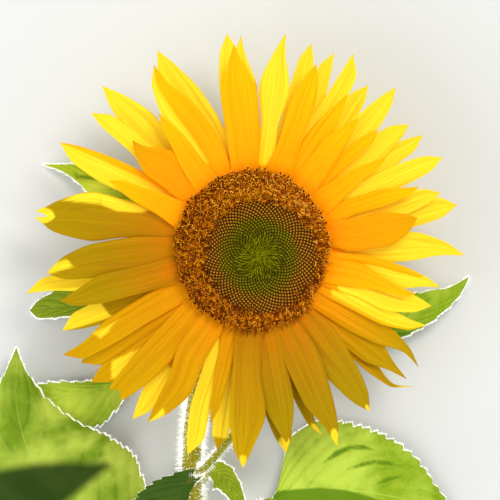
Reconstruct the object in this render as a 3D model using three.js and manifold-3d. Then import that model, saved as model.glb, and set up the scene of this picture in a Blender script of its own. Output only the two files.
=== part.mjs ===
// A cut sunflower: one open bloom on a length of its stem, with its eight leaves, lying face up.
// Millimetres, +Z up. The stem lies along Y with its cut end towards -Y, and the bloom faces +Z.
// The head is laid out about its own axis; the finished group is then moved so that the origin is
// at the middle of the footprint, on the surface that the flower lies on.

import * as THREE from "three";
import { mergeVertices } from "three/addons/utils/BufferGeometryUtils.js";
import Module from "manifold-3d";

const wasm = await Module();
wasm.setup();

const GAP = 0.3; // clearance where one piece is seated on another
const DEGREE = Math.PI / 180;
const GOLDEN_ANGLE = Math.PI * (3 - Math.sqrt(5));
const LATHE_SEGMENTS = 48;

// Head: its rim plane is RIM_HEIGHT above the floor and nods towards the foot of the stem.
const RIM_HEIGHT = 62;
const NOD = 5 * DEGREE;
const RIM_RADIUS = 47.5; // upright wall of the receptacle that the rays stand on
const RIM_DEPTH = 8.4;
const NECK_RADIUS = 9;
const RECEPTACLE_DEPTH = 26;

// Disc of small florets on top of the receptacle, overhanging its wall.
const DISC_RADIUS = 49.5;
const DISC_CREST_RADIUS = 38;
const DISC_CREST_HEIGHT = 8.5;
const DISC_CENTRE_HEIGHT = 6;
const DISC_EDGE_FALL = 5.5; // from the crest down to the edge
const FLORET_COUNT = 130;
const FLORET_RADIUS = 1.7;
const FLORET_LENGTH = 6.5;
const FLORET_RING = [31, 45.5]; // nearest and furthest open floret from the middle of the head
const FLORET_LEAN = 14 * DEGREE;

// Green bracts behind the rays, in two whorls.
const BRACTS_PER_WHORL = 13;
const BRACT_WHORLS = 2;
const BRACT_ROOT_RADIUS = 41;
const BRACT_REACH = 78;
const BRACT_WIDTH = 15;
const BRACT_THICKNESS = 1.2;
const BRACT_CHANNEL = 1.2; // rise of a bract's edges near its tip
const BRACT_TOP = -11; // height of the front whorl's roots
const WHORL_STEP = 3;
const BRACT_DROOP = 6;

// Rays stand in tiers one behind another, each tier opening at its own slope so that none touch.
const RAY_THICKNESS = 1;
const RAY_BASE_WIDTH = 8.4;
const TIER_TOP = -1.2; // height of the front tier at the rim plane's wall
const TIER_STEP = 1.35;
const FRONT_SLOPE = 12 * DEGREE;
const SLOPE_STEP = 4 * DEGREE;
const HEEL_LENGTH = 3; // of the foot that a pair of rays shares
const RAY_DROOP = 6; // fall of a tip that lies one DROOP_REACH out from the wall
const DROOP_REACH = 80;
const RAY_CHANNEL = 0.036; // rise of a ray's edges for each millimetre out from the wall
const RAY_CHANNEL_MOST = 1.7;

// Every ray by name: the angle its tip points to (degrees from +X towards +Y), how far the tip is
// from the head's axis, its greatest width, and its tier (0 is the front one, 4 the back one).
// A node that lists two rays holds a pair from neighbouring tiers, grown together at the foot.
const RAYS = {
  ray_01: [[359, 127, 16, 2]],
  ray_02: [[10.7, 101, 21, 0]],
  ray_03: [[12.7, 125.5, 15, 4], [17, 118.5, 14, 3]],
  ray_04: [[20.5, 107, 15, 1]],
  ray_05: [[25.7, 127, 16, 2]],
  ray_06: [[33.7, 123.5, 15, 4], [38.5, 120.5, 15, 3]],
  ray_07: [[34.4, 98, 17, 0]],
  ray_08: [[43.4, 104, 17, 1]],
  ray_09: [[48.7, 130, 15, 2], [54.7, 120.5, 14, 3]],
  ray_10: [[51, 101, 17, 0]],
  ray_11: [[58.3, 109, 17, 1]],
  ray_12: [[63, 133, 16, 2]],
  ray_13: [[67.6, 128, 14, 4], [73.7, 131, 14, 3]],
  ray_14: [[70.9, 118, 17, 0]],
  ray_15: [[81.1, 132, 17.5, 1]],
  ray_16: [[93.2, 129, 15, 3], [97, 131.5, 15, 4]],
  ray_17: [[95.1, 122.5, 21, 0]],
  ray_18: [[115.2, 132.5, 17, 3]],
  ray_19: [[117.9, 125.5, 20, 1]],
  ray_20: [[124.6, 98.5, 18, 0]],
  ray_21: [[132.4, 133, 19, 4]],
  ray_22: [[139.2, 128, 17, 2]],
  ray_23: [[137.7, 97, 20, 1]],
  ray_24: [[150.9, 132, 20, 3]],
  ray_25: [[154.4, 95, 16, 0]],
  ray_26: [[170.4, 132.5, 27, 2]],
  ray_27: [[187.1, 121, 19, 0]],
  ray_28: [[190.5, 138, 19, 3]],
  ray_29: [[194.9, 119.5, 18, 1]],
  ray_30: [[202.8, 123.5, 16, 4]],
  ray_31: [[208.7, 130, 17, 2], [213.3, 123.5, 15, 3]],
  ray_32: [[219.3, 125, 17, 4]],
  ray_33: [[226, 119.5, 20, 1]],
  ray_34: [[234.8, 124, 17, 4]],
  ray_35: [[238.9, 120, 20, 0]],
  ray_36: [[252.6, 128.5, 17, 2]],
  ray_37: [[256.8, 105, 17, 1]],
  ray_38: [[260.4, 121, 14, 4]],
  ray_39: [[267.6, 130, 20, 0]],
  ray_40: [[280.4, 117, 19, 1]],
  ray_41: [[279.4, 123.5, 14, 3]],
  ray_42: [[290.6, 119.5, 14, 4]],
  ray_43: [[293.4, 128.5, 20, 0]],
  ray_44: [[306, 119.5, 22, 1]],
  ray_45: [[319, 126.5, 12, 4], [321.2, 120, 14, 3]],
  ray_46: [[325.5, 121, 20, 0]],
  ray_47: [[335.7, 114, 14, 3]],
  ray_48: [[342.4, 113, 14, 4], [348.6, 115, 14, 3]],
  ray_49: [[344.9, 101.5, 17, 1]],
};

// Stem: points of its axis from the cut end to the back of the receptacle, each with a radius.
const STEM_SIDES = 12;
const STEM_STEPS = 24;
const STEM_AXIS = [
  { x: -34, y: -226, radius: 7 },
  { x: -35.2, y: -175, radius: 6.5 },
  { x: -36.4, y: -124, radius: 5.8 },
  { x: -33, y: -90, radius: 5.7 },
  { x: -23, y: -52, z: 7, radius: 6.4 },
  { x: -9, y: -17, z: 12, radius: 7.6 },
  { x: -0.6, y: 1.5, z: 24.5, radius: 8.4 },
];

// Leaves. foot is where the stalk meets the stem: how far along Y, and the angle round the stem
// from +X towards +Z. base, bow and tip are the blade's run from stalk to tip; half is half the
// blade's width on the right and on the left of its midrib, seen from its stalk; sag lowers its
// edges, roll turns it about its midrib, lobe sets its basal lobes back and blunt rounds its tip
// where it is under 1.
const PETIOLE_RADIUS = 2.2;
const LEAF_THICKNESS = 1.5;
const LEAF_TEETH = 8;
const LEAF_TOOTH = 0.045; // depth of a tooth as a share of the half width
const LEAF_TIP = 0.8;
const BLADE_START = 0.015; // share of the blade's run where it leaves the round stalk
const STALK_STEPS = 6;
const STALK_LEAVES = 0.3; // pull of a stalk's two ends along their own ways, as shares of its span
const STALK_ARRIVES = 0.35;
const LEAVES = {
  leaf_top_left: {
    foot: { y: -30, angle: 180 },
    base: [-46, 14, 16],
    bow: [-88, 36, 22],
    tip: [-125.4, 51.2, 0.8],
    half: [20, 11],
    sag: 4,
    roll: 0,
    lobe: 5,
    blunt: 1.3,
  },
  leaf_left: {
    foot: { y: -58, angle: 175 },
    base: [-58, -38, 12],
    bow: [-95, -31, 19],
    tip: [-132.5, -34, 0.8],
    half: [14, 11],
    sag: 4,
    roll: 8,
    lobe: 4,
    blunt: 0.45,
  },
  leaf_right: {
    foot: { y: -134, angle: 38 },
    base: [54, -58, 18],
    bow: [97, -44, 26],
    tip: [130.2, -16.7, 0.8],
    half: [14, 16],
    sag: 5,
    roll: -8,
    lobe: 3,
    blunt: 0.9,
  },
  leaf_lower_right: {
    foot: { y: -176, angle: 10 },
    base: [9, -153, 8],
    bow: [66, -143, 34],
    tip: [125, -164, 3],
    half: [42, 48],
    sag: 14,
    roll: 0,
    lobe: 7,
    blunt: 0.95,
  },
  leaf_small: {
    foot: { y: -140, angle: 0 },
    base: [-24, -136, 10],
    bow: [-5, -130, 20],
    tip: [-3, -168, 18],
    half: [8.5, 10],
    sag: 2,
    roll: 0,
    lobe: 2,
    blunt: 1,
  },
  leaf_front: {
    foot: { y: -139, angle: 98 },
    base: [-37, -139.5, 20],
    bow: [-58, -160, 31],
    tip: [-80, -210, 20],
    half: [27, 25],
    sag: 5,
    roll: 0,
    lobe: 6,
    blunt: 1.1,
  },
  leaf_lower_left: {
    foot: { y: -207, angle: 165 },
    base: [-62, -186, 12],
    bow: [-152, -152, 34],
    tip: [-142.2, -58.7, 14],
    half: [52, 42],
    sag: 12,
    roll: 0,
    lobe: 9,
    blunt: 1.15,
  },
  leaf_behind: {
    foot: { y: -97, angle: 180 },
    base: [-75, -79, 7],
    bow: [-116, -89, 12],
    tip: [-168, -112, 0.8],
    half: [16, 23],
    sag: 4,
    roll: 0,
    lobe: 3,
    blunt: 0.8,
  },
};

const PETAL_FRONT = new THREE.MeshStandardMaterial({ color: "#f7b500", roughness: 0.55, metalness: 0 });
const PETAL_MIDDLE = new THREE.MeshStandardMaterial({ color: "#fbc60a", roughness: 0.55, metalness: 0 });
const PETAL_BACK = new THREE.MeshStandardMaterial({ color: "#ffe22a", roughness: 0.55, metalness: 0 });
const DISC_BROWN = new THREE.MeshStandardMaterial({ color: "#a8661a", roughness: 0.85, metalness: 0 });
const BRACT_GREEN = new THREE.MeshStandardMaterial({ color: "#6f8f2a", roughness: 0.75, metalness: 0 });
const STEM_GREEN = new THREE.MeshStandardMaterial({ color: "#7d8a2c", roughness: 0.7, metalness: 0 });
const LEAF_GREEN = new THREE.MeshStandardMaterial({ color: "#7fae1e", roughness: 0.7, metalness: 0 });
const TIER_MATERIALS = [PETAL_FRONT, PETAL_FRONT, PETAL_MIDDLE, PETAL_BACK, PETAL_BACK];

const UP = new THREE.Vector3(0, 0, 1);

const smooth = (t) => {
  const c = THREE.MathUtils.clamp(t, 0, 1);
  return c * c * (3 - 2 * c);
};

// Closed body through rings of points that all have the same count, with a flat cap at each end.
function loft(rings) {
  const sides = rings[0].length;
  const points = rings.flat();
  const faces = [];
  for (let i = 0; i + 1 < rings.length; i += 1) {
    for (let j = 0; j < sides; j += 1) {
      const a = i * sides + j;
      const b = i * sides + ((j + 1) % sides);
      faces.push([a, b, b + sides], [a, b + sides, a + sides]);
    }
  }
  const last = (rings.length - 1) * sides;
  for (let j = 1; j + 1 < sides; j += 1) faces.push([0, j + 1, j], [last, last + j, last + j + 1]);
  const geometry = new THREE.BufferGeometry().setFromPoints(points);
  geometry.setIndex(faces.flat());
  return facingOut(geometry);
}

// Turns every face round if the closed body is inside out.
function facingOut(geometry) {
  const position = geometry.getAttribute("position");
  const index = geometry.getIndex();
  const [a, b, c] = [new THREE.Vector3(), new THREE.Vector3(), new THREE.Vector3()];
  let volume = 0;
  for (let i = 0; i < index.count; i += 3) {
    a.fromBufferAttribute(position, index.getX(i));
    b.fromBufferAttribute(position, index.getX(i + 1));
    c.fromBufferAttribute(position, index.getX(i + 2));
    volume += a.dot(b.cross(c));
  }
  if (volume < 0) index.array.reverse();
  return geometry;
}

// Closed geometry as a solid that can be joined to others.
function solidOf(geometry) {
  const bare = geometry.clone();
  bare.deleteAttribute("normal");
  bare.deleteAttribute("uv");
  const merged = mergeVertices(bare, 1e-3);
  const kept = [];
  for (let i = 0; i < merged.index.count; i += 3) {
    const face = [0, 1, 2].map((k) => merged.index.getX(i + k));
    if (new Set(face).size === 3) kept.push(...face);
  }
  const vertProperties = new Float32Array(merged.getAttribute("position").array);
  const triVerts = new Uint32Array(kept);
  return new wasm.Manifold(new wasm.Mesh({ numProp: 3, vertProperties, triVerts }));
}

// Several closed geometries that meet, as one closed geometry.
function joined(geometries) {
  const mesh = geometries
    .map(solidOf)
    .reduce((whole, solid) => whole.add(solid))
    .getMesh();
  const geometry = new THREE.BufferGeometry();
  geometry.setAttribute("position", new THREE.BufferAttribute(mesh.vertProperties, 3));
  geometry.setIndex(new THREE.BufferAttribute(mesh.triVerts, 1));
  return geometry;
}

// Lifts a piece of the head from the rim plane's own frame to its nodding place over the floor.
function seatedOnHead(geometry) {
  const nod = new THREE.Matrix4().set(
    1, 0, 0, 0,
    0, 1, 0, 0,
    0, Math.tan(NOD), 1, RIM_HEIGHT,
    0, 0, 0, 1,
  );
  return geometry.applyMatrix4(nod);
}

// Solid of revolution about Z from [radius, height] pairs that start and end on the axis.
function turned(profile, segments) {
  const geometry = new THREE.LatheGeometry(profile.map(([r, z]) => new THREE.Vector2(r, z)), segments);
  geometry.rotateX(Math.PI / 2);
  return geometry;
}

// Flattened ring of points across a blade: its top from edge to edge, then back underneath.
// half holds the half width on each side and thickness is that of the middle. At a share v of the
// way out to an edge the ring is raised by rise(v) and shifted by swept(v).
function bladeRing({ centre, side, normal, half, thickness, rise, swept, columns = 5 }) {
  const top = Array.from({ length: columns }, (_, i) => -1 + (2 * i) / (columns - 1));
  const under = top.slice(1, -1).reverse();
  const pointAt = (v, face) => {
    const across = v < 0 ? v * half[0] : v * half[1];
    const lift = (face * thickness * Math.sqrt(Math.max(0, 1 - v * v))) / 2;
    const point = centre.clone().addScaledVector(side, across);
    point.addScaledVector(normal, lift + (rise ? rise(v) : 0));
    return swept ? point.add(swept(v)) : point;
  };
  return [...top.map((v) => pointAt(v, 1)), ...under.map((v) => pointAt(v, -1))];
}

// Width of a ray as a share of its greatest, from its foot (0) to its tip (1).
function rayWidth(u, footShare) {
  const WIDEST = 0.5;
  if (u < WIDEST) return THREE.MathUtils.lerp(footShare, 1, Math.sin(((u / WIDEST) * Math.PI) / 2));
  const t = (u - WIDEST) / (1 - WIDEST);
  return 1 - 0.97 * t ** 2.2;
}

// Height of a ray's middle over the rim plane, by its tier and the distance out from the wall.
function rayHeight(tier, out) {
  const slope = Math.tan(FRONT_SLOPE - SLOPE_STEP * tier);
  return TIER_TOP - TIER_STEP * tier + slope * out - RAY_DROOP * (out / DROOP_REACH) ** 2;
}

// One ray floret: a thin channelled blade that widens from its foot and runs out to a point.
function rayBlade([aim, reach, width, tier]) {
  const STATIONS = [0, 0.14, 0.32, 0.52, 0.72, 0.89, 1];
  const direction = new THREE.Vector3(Math.cos(aim * DEGREE), Math.sin(aim * DEGREE), 0);
  const side = new THREE.Vector3().crossVectors(UP, direction);
  const foot = RIM_RADIUS + GAP;
  const rings = STATIONS.map((u) => {
    const out = u * (reach - foot);
    const channel = Math.min(RAY_CHANNEL * out, RAY_CHANNEL_MOST);
    const half = (width / 2) * rayWidth(u, RAY_BASE_WIDTH / width);
    return bladeRing({
      centre: direction.clone().multiplyScalar(foot + out).setZ(rayHeight(tier, out)),
      side,
      normal: UP,
      half: [half, half],
      thickness: RAY_THICKNESS * (u < 1 ? 1 : 0.5),
      rise: (v) => (channel * (v * v - 0.4) * half) / (width / 2),
    });
  });
  return loft(rings);
}

// The short heel that holds a pair of rays together where they leave the receptacle.
function rayHeel([[aimA, , , tierA], [aimB, , , tierB]]) {
  const [aim, apart] = [(aimA + aimB) / 2, Math.abs(aimA - aimB)];
  const inner = RIM_RADIUS + 2 * GAP;
  const [low, high] = [Math.max(tierA, tierB), Math.min(tierA, tierB)].map((t) => rayHeight(t, 0));
  const heel = new THREE.BoxGeometry(HEEL_LENGTH, apart * DEGREE * inner + 1.2, high - low + 0.25);
  heel.translate(inner + HEEL_LENGTH / 2, 0, (low + high) / 2);
  return heel.rotateZ(aim * DEGREE);
}

// One ray by itself, or a pair with its heel.
function rayMesh(blades) {
  const [first, second] = blades.map(rayBlade);
  const geometry = second ? joined([first, rayHeel(blades), second]) : first;
  return new THREE.Mesh(seatedOnHead(geometry), TIER_MATERIALS[blades[0][3]]);
}

// One bract: a pointed green blade rooted in the back of the receptacle.
function bractBlade(whorl, turn) {
  const aim = ((turn + whorl / BRACT_WHORLS) / BRACTS_PER_WHORL) * 2 * Math.PI;
  const direction = new THREE.Vector3(Math.cos(aim), Math.sin(aim), 0);
  const side = new THREE.Vector3().crossVectors(UP, direction);
  const reach = BRACT_REACH - 2 * WHORL_STEP * whorl;
  const rings = [0, 0.3, 0.6, 0.85, 1].map((u) => {
    const half = (BRACT_WIDTH / 2) * (1 - 0.95 * u ** 1.7);
    const out = THREE.MathUtils.lerp(BRACT_ROOT_RADIUS - 2 * whorl, reach, u);
    const height = BRACT_TOP - WHORL_STEP * whorl - BRACT_DROOP * Math.sin(u * Math.PI * 0.6);
    return bladeRing({
      centre: direction.clone().multiplyScalar(out).setZ(height),
      side,
      normal: UP,
      half: [half, half],
      thickness: BRACT_THICKNESS,
      rise: (v) => BRACT_CHANNEL * v * v * u,
      columns: 3,
    });
  });
  return loft(rings);
}

// Receptacle with its bracts: the fleshy cup that holds disc and rays, drawn in to the neck.
function receptacleMesh() {
  const cup = turned(
    [
      [0, 0],
      [RIM_RADIUS, 0],
      [RIM_RADIUS, -RIM_DEPTH],
      [44, -12.5],
      [33, -17.5],
      [20, -20.5],
      [12, -23.5],
      [NECK_RADIUS, -RECEPTACLE_DEPTH],
      [0, -RECEPTACLE_DEPTH],
    ].reverse(),
    LATHE_SEGMENTS,
  );
  const bracts = [];
  for (let whorl = 0; whorl < BRACT_WHORLS; whorl += 1) {
    for (let turn = 0; turn < BRACTS_PER_WHORL; turn += 1) bracts.push(bractBlade(whorl, turn));
  }
  return new THREE.Mesh(seatedOnHead(joined([cup, ...bracts])), BRACT_GREEN);
}

// Height of the disc's bare surface at a distance from its middle.
function discHeight(radius) {
  if (radius < DISC_CREST_RADIUS) {
    const rise = smooth(radius / DISC_CREST_RADIUS);
    return THREE.MathUtils.lerp(DISC_CENTRE_HEIGHT, DISC_CREST_HEIGHT, rise);
  }
  const fall = (radius - DISC_CREST_RADIUS) / (DISC_RADIUS - DISC_CREST_RADIUS);
  return DISC_CREST_HEIGHT - DISC_EDGE_FALL * fall * fall;
}

// Disc: a shallow dome, with the ring of open florets standing on it as spikes that lean outwards.
function discMesh() {
  const surface = [DISC_RADIUS, 46, 42, DISC_CREST_RADIUS, 32, 24, 16, 8, 0];
  const profile = [[0, GAP], [DISC_RADIUS, GAP], ...surface.map((r) => [r, discHeight(r)])];
  const dome = turned(profile, LATHE_SEGMENTS);
  const [nearest, furthest] = FLORET_RING;
  const florets = Array.from({ length: FLORET_COUNT }, (_, i) => {
    const share = (i + 0.5) / FLORET_COUNT;
    const radius = Math.sqrt(THREE.MathUtils.lerp(nearest ** 2, furthest ** 2, share));
    const floret = new THREE.ConeGeometry(FLORET_RADIUS, FLORET_LENGTH, 4);
    floret.rotateX(Math.PI / 2);
    floret.translate(0, 0, FLORET_LENGTH / 4);
    floret.rotateY((FLORET_LEAN * (radius - nearest)) / (furthest - nearest));
    floret.translate(radius, 0, discHeight(radius));
    floret.rotateZ(i * GOLDEN_ANGLE);
    return floret;
  });
  return new THREE.Mesh(seatedOnHead(joined([dome, ...florets])), DISC_BROWN);
}

// Stem axis: it lies on the floor and then turns up into the back of the receptacle.
const headAxis = new THREE.Vector3(0, -Math.sin(NOD), Math.cos(NOD));
const neckEnd = new THREE.Vector3(0, 0, RIM_HEIGHT - RECEPTACLE_DEPTH - GAP);
const stemKnots = STEM_AXIS.map(({ x, y, z, radius }) => new THREE.Vector3(x, y, z ?? radius));
const stemAxis = new THREE.CatmullRomCurve3([...stemKnots, neckEnd], false, "centripetal");
const stemRadii = [...STEM_AXIS.map(({ radius }) => radius), NECK_RADIUS];

// Radius of the stem at a share of its curve's own parameter.
function stemRadius(t) {
  const at = t * (stemRadii.length - 1);
  const before = Math.min(Math.floor(at), stemRadii.length - 2);
  return THREE.MathUtils.lerp(stemRadii[before], stemRadii[before + 1], at - before);
}

function stemMesh() {
  const rings = [];
  let across = new THREE.Vector3(1, 0, 0);
  for (let i = 0; i <= STEM_STEPS; i += 1) {
    const t = i / STEM_STEPS;
    const along = stemAxis.getTangent(t);
    if (i === 0) along.set(0, 1, 0);
    if (i === STEM_STEPS) along.copy(headAxis);
    const up = new THREE.Vector3().crossVectors(across, along).normalize();
    across = new THREE.Vector3().crossVectors(along, up).normalize();
    const centre = stemAxis.getPoint(t);
    const radius = stemRadius(t);
    rings.push(
      Array.from({ length: STEM_SIDES }, (_, j) => {
        const angle = (j / STEM_SIDES) * 2 * Math.PI;
        return centre
          .clone()
          .addScaledVector(across, radius * Math.cos(angle))
          .addScaledVector(up, radius * Math.sin(angle));
      }),
    );
  }
  return new THREE.Mesh(loft(rings), STEM_GREEN);
}

// Where a leaf stalk starts, just clear of the stem's side, and the way it sets off.
function stalkFoot({ y, angle }) {
  let t = 0;
  while (stemAxis.getPoint(t).y < y) t += 0.001;
  const along = stemAxis.getTangent(t);
  const sideways = new THREE.Vector3().crossVectors(along, UP).normalize();
  const upwards = new THREE.Vector3().crossVectors(sideways, along);
  const out = sideways
    .multiplyScalar(Math.cos(angle * DEGREE))
    .addScaledVector(upwards, Math.sin(angle * DEGREE));
  return { start: stemAxis.getPoint(t).addScaledVector(out, stemRadius(t) + GAP), out };
}

// Width of a leaf blade as a share of its greatest, from its base (0) to its tip (1).
function leafWidth(s, blunt) {
  const WIDEST = 0.34;
  if (s < WIDEST) return Math.sin(((s / WIDEST) * Math.PI) / 2) ** 0.7;
  return Math.cos((((s - WIDEST) / (1 - WIDEST)) * Math.PI) / 2) ** blunt;
}

// Ring across a leaf at a share t of a run; along is the way the run goes there.
function leafRing(run, t, along, roll, shape) {
  const level = new THREE.Vector3().crossVectors(UP, along);
  if (level.length() < 0.2) level.set(1, 0, 0);
  const side = level.normalize().applyAxisAngle(along, roll * DEGREE);
  const normal = new THREE.Vector3().crossVectors(along, side).normalize();
  return bladeRing({ centre: run.getPoint(t), side, normal, ...shape });
}

// A leaf: a round stalk that runs on into a toothed blade.
function leafMesh({ foot, base, bow, tip, half, sag, roll, lobe, blunt }) {
  const { start, out } = stalkFoot(foot);
  const [baseAt, bowAt, tipAt] = [base, bow, tip].map((p) => new THREE.Vector3(...p));
  const bladeRun = new THREE.QuadraticBezierCurve3(baseAt, bowAt, tipAt);
  const span = start.distanceTo(baseAt);
  const leaving = start.clone().addScaledVector(out, span * STALK_LEAVES);
  const arriving = baseAt.clone().addScaledVector(bladeRun.getTangent(0), -span * STALK_ARRIVES);
  const stalkRun = new THREE.CubicBezierCurve3(start, leaving, arriving, baseAt);
  const round = { half: [PETIOLE_RADIUS, PETIOLE_RADIUS], thickness: 2 * PETIOLE_RADIUS };
  const rings = [];
  for (let i = 0; i < STALK_STEPS; i += 1) {
    const along = i ? stalkRun.getTangent(i / STALK_STEPS) : out;
    rings.push(leafRing(stalkRun, i / STALK_STEPS, along, roll, round));
  }
  const steps = 2 * LEAF_TEETH;
  for (let i = 0; i <= steps; i += 1) {
    const s = THREE.MathUtils.lerp(BLADE_START, 1, i / steps);
    const along = bladeRun.getTangent(s);
    const notch = i % 2 ? 1 : 1 - LEAF_TOOTH;
    const share = i < steps ? leafWidth(s, blunt) * notch : 0;
    const least = i < steps ? PETIOLE_RADIUS : LEAF_TIP;
    const setBack = lobe * (1 - s) ** 3 * smooth(i / 2);
    const shape = {
      half: half.map((h) => Math.max(h * share, least)),
      thickness: i ? LEAF_THICKNESS : 2 * PETIOLE_RADIUS,
      rise: (v) => -sag * share * v * v,
      swept: (v) => along.clone().multiplyScalar(-setBack * v * v),
    };
    rings.push(leafRing(bladeRun, s, along, roll, shape));
  }
  return new THREE.Mesh(loft(rings), LEAF_GREEN);
}

const group = new THREE.Group();

function addNode(name, mesh) {
  mesh.name = name;
  group.add(mesh);
}

addNode("stem", stemMesh());
addNode("receptacle", receptacleMesh());
addNode("disc", discMesh());
for (const [name, blades] of Object.entries(RAYS)) addNode(name, rayMesh(blades));
for (const [name, leaf] of Object.entries(LEAVES)) addNode(name, leafMesh(leaf));

const box = new THREE.Box3().setFromObject(group, true);
const middle = box.getCenter(new THREE.Vector3());
group.position.set(-middle.x, -middle.y, -box.min.z);

export default group;
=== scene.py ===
"""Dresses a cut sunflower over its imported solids.

One open bloom lies face up on a length of its bristly stem, with eight leaves. Every piece is laid
out in millimetres in the frame of the solids, and is turned to metres as its mesh is made.
"""

from __future__ import annotations

import logging
import math
from dataclasses import dataclass, field
from enum import Enum

import bpy
import numpy as np
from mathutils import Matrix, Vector


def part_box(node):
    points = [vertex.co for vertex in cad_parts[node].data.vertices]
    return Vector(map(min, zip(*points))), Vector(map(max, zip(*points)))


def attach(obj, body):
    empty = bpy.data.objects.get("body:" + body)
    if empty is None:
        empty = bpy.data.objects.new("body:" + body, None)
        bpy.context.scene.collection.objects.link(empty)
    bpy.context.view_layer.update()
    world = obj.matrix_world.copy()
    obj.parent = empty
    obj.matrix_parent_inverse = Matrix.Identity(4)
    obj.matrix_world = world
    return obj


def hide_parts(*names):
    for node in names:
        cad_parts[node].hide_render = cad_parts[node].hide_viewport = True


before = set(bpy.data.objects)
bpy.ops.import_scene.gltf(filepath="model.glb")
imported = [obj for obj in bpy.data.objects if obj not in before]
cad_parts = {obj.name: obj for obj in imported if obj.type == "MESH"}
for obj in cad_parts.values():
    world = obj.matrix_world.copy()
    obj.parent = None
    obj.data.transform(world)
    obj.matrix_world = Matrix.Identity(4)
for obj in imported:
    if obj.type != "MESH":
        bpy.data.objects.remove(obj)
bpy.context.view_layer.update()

LOG = logging.getLogger("sunflower")
BODY = "root"
MM = 0.001
TURN = 2 * math.pi
GOLDEN_ANGLE = math.pi * (3 - math.sqrt(5))
UP = np.array([0.0, 0.0, 1.0])

# Sizes shared with the solids, in millimetres.
GAP = 0.3
RIM_HEIGHT = 62.0
NOD = math.radians(5)
RIM_RADIUS = 47.5
DISC_RADIUS = 49.5
NECK_RADIUS = 9.0
RECEPTACLE_DEPTH = 26.0

Array = np.ndarray
Rng = np.random.Generator
Socket = bpy.types.NodeSocket
Material = bpy.types.Material
Outline = tuple[tuple[float, float], ...]
Inputs = dict | tuple
Stops = tuple[tuple[float, str], ...]


# ---------------------------------------------------------------- finishes


def linear(hex_colour: str) -> tuple[float, float, float, float]:
    """Turns an sRGB colour into the linear one that shaders take.

    Args:
        hex_colour: colour as "#rrggbb".

    Returns:
        Linear red, green and blue, and an alpha of 1.
    """
    parts = [int(hex_colour[i : i + 2], 16) / 255 for i in (1, 3, 5)]
    turned = [c / 12.92 if c <= 0.04045 else ((c + 0.055) / 1.055) ** 2.4 for c in parts]
    return (turned[0], turned[1], turned[2], 1.0)


class Finish:
    """A material in the making: its Principled shader, and the nodes that drive it.

    Patterns follow the mesh's own grain, its millimetres along and across the piece, so each of them
    is drawn at a real size.
    """

    def __init__(self, name: str) -> None:
        """Starts the material.

        Args:
            name: the material's name.
        """
        self.material = bpy.data.materials.new(name)
        self.material.use_nodes = True
        self.shader = self.material.node_tree.nodes["Principled BSDF"]

    def add(self, kind: str, inputs: Inputs = (), output: int | str = 0, stops: Stops = (), **settings: str) -> Socket:
        """Adds a node with its settings and links.

        Args:
            kind: Blender's name for the kind of shader node.
            inputs: what its inputs take.
            output: name or number of the output that is wanted.
            stops: places and sRGB colours of its ramp, if it has one.
            **settings: properties of the node itself.

        Returns:
            The wanted output.
        """
        node = self.material.node_tree.nodes.new("ShaderNode" + kind)
        for name, value in settings.items():
            setattr(node, name, value)
        for number, (place, colour) in enumerate(stops):
            elements = node.color_ramp.elements
            element = elements[number] if number < len(elements) else elements.new(place)
            element.position, element.color = place, linear(colour)
        self.feed(node, inputs)
        return node.outputs[output]

    def feed(self, node: bpy.types.Node, inputs: Inputs) -> None:
        """Gives a node its inputs.

        Args:
            node: the node.
            inputs: a socket, number, vector or sRGB colour for each, in order or by name or number.
        """
        for key, value in inputs.items() if isinstance(inputs, dict) else enumerate(inputs):
            if isinstance(value, Socket):
                self.material.node_tree.links.new(value, node.inputs[key])
            else:
                node.inputs[key].default_value = linear(value) if isinstance(value, str) else value

    def grain(self, along: float, across: float) -> Socket:
        """The mesh's grain, with so many features for each millimetre along and across it."""
        grain = self.add("Attribute", output="Vector", attribute_name="grain")
        return self.add("VectorMath", (grain, (along, across, 1.0)), operation="MULTIPLY")

    def done(self, inputs: Inputs) -> Material:
        """Gives the shader its inputs and hands the material over."""
        self.feed(self.shader, inputs)
        return self.material


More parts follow.
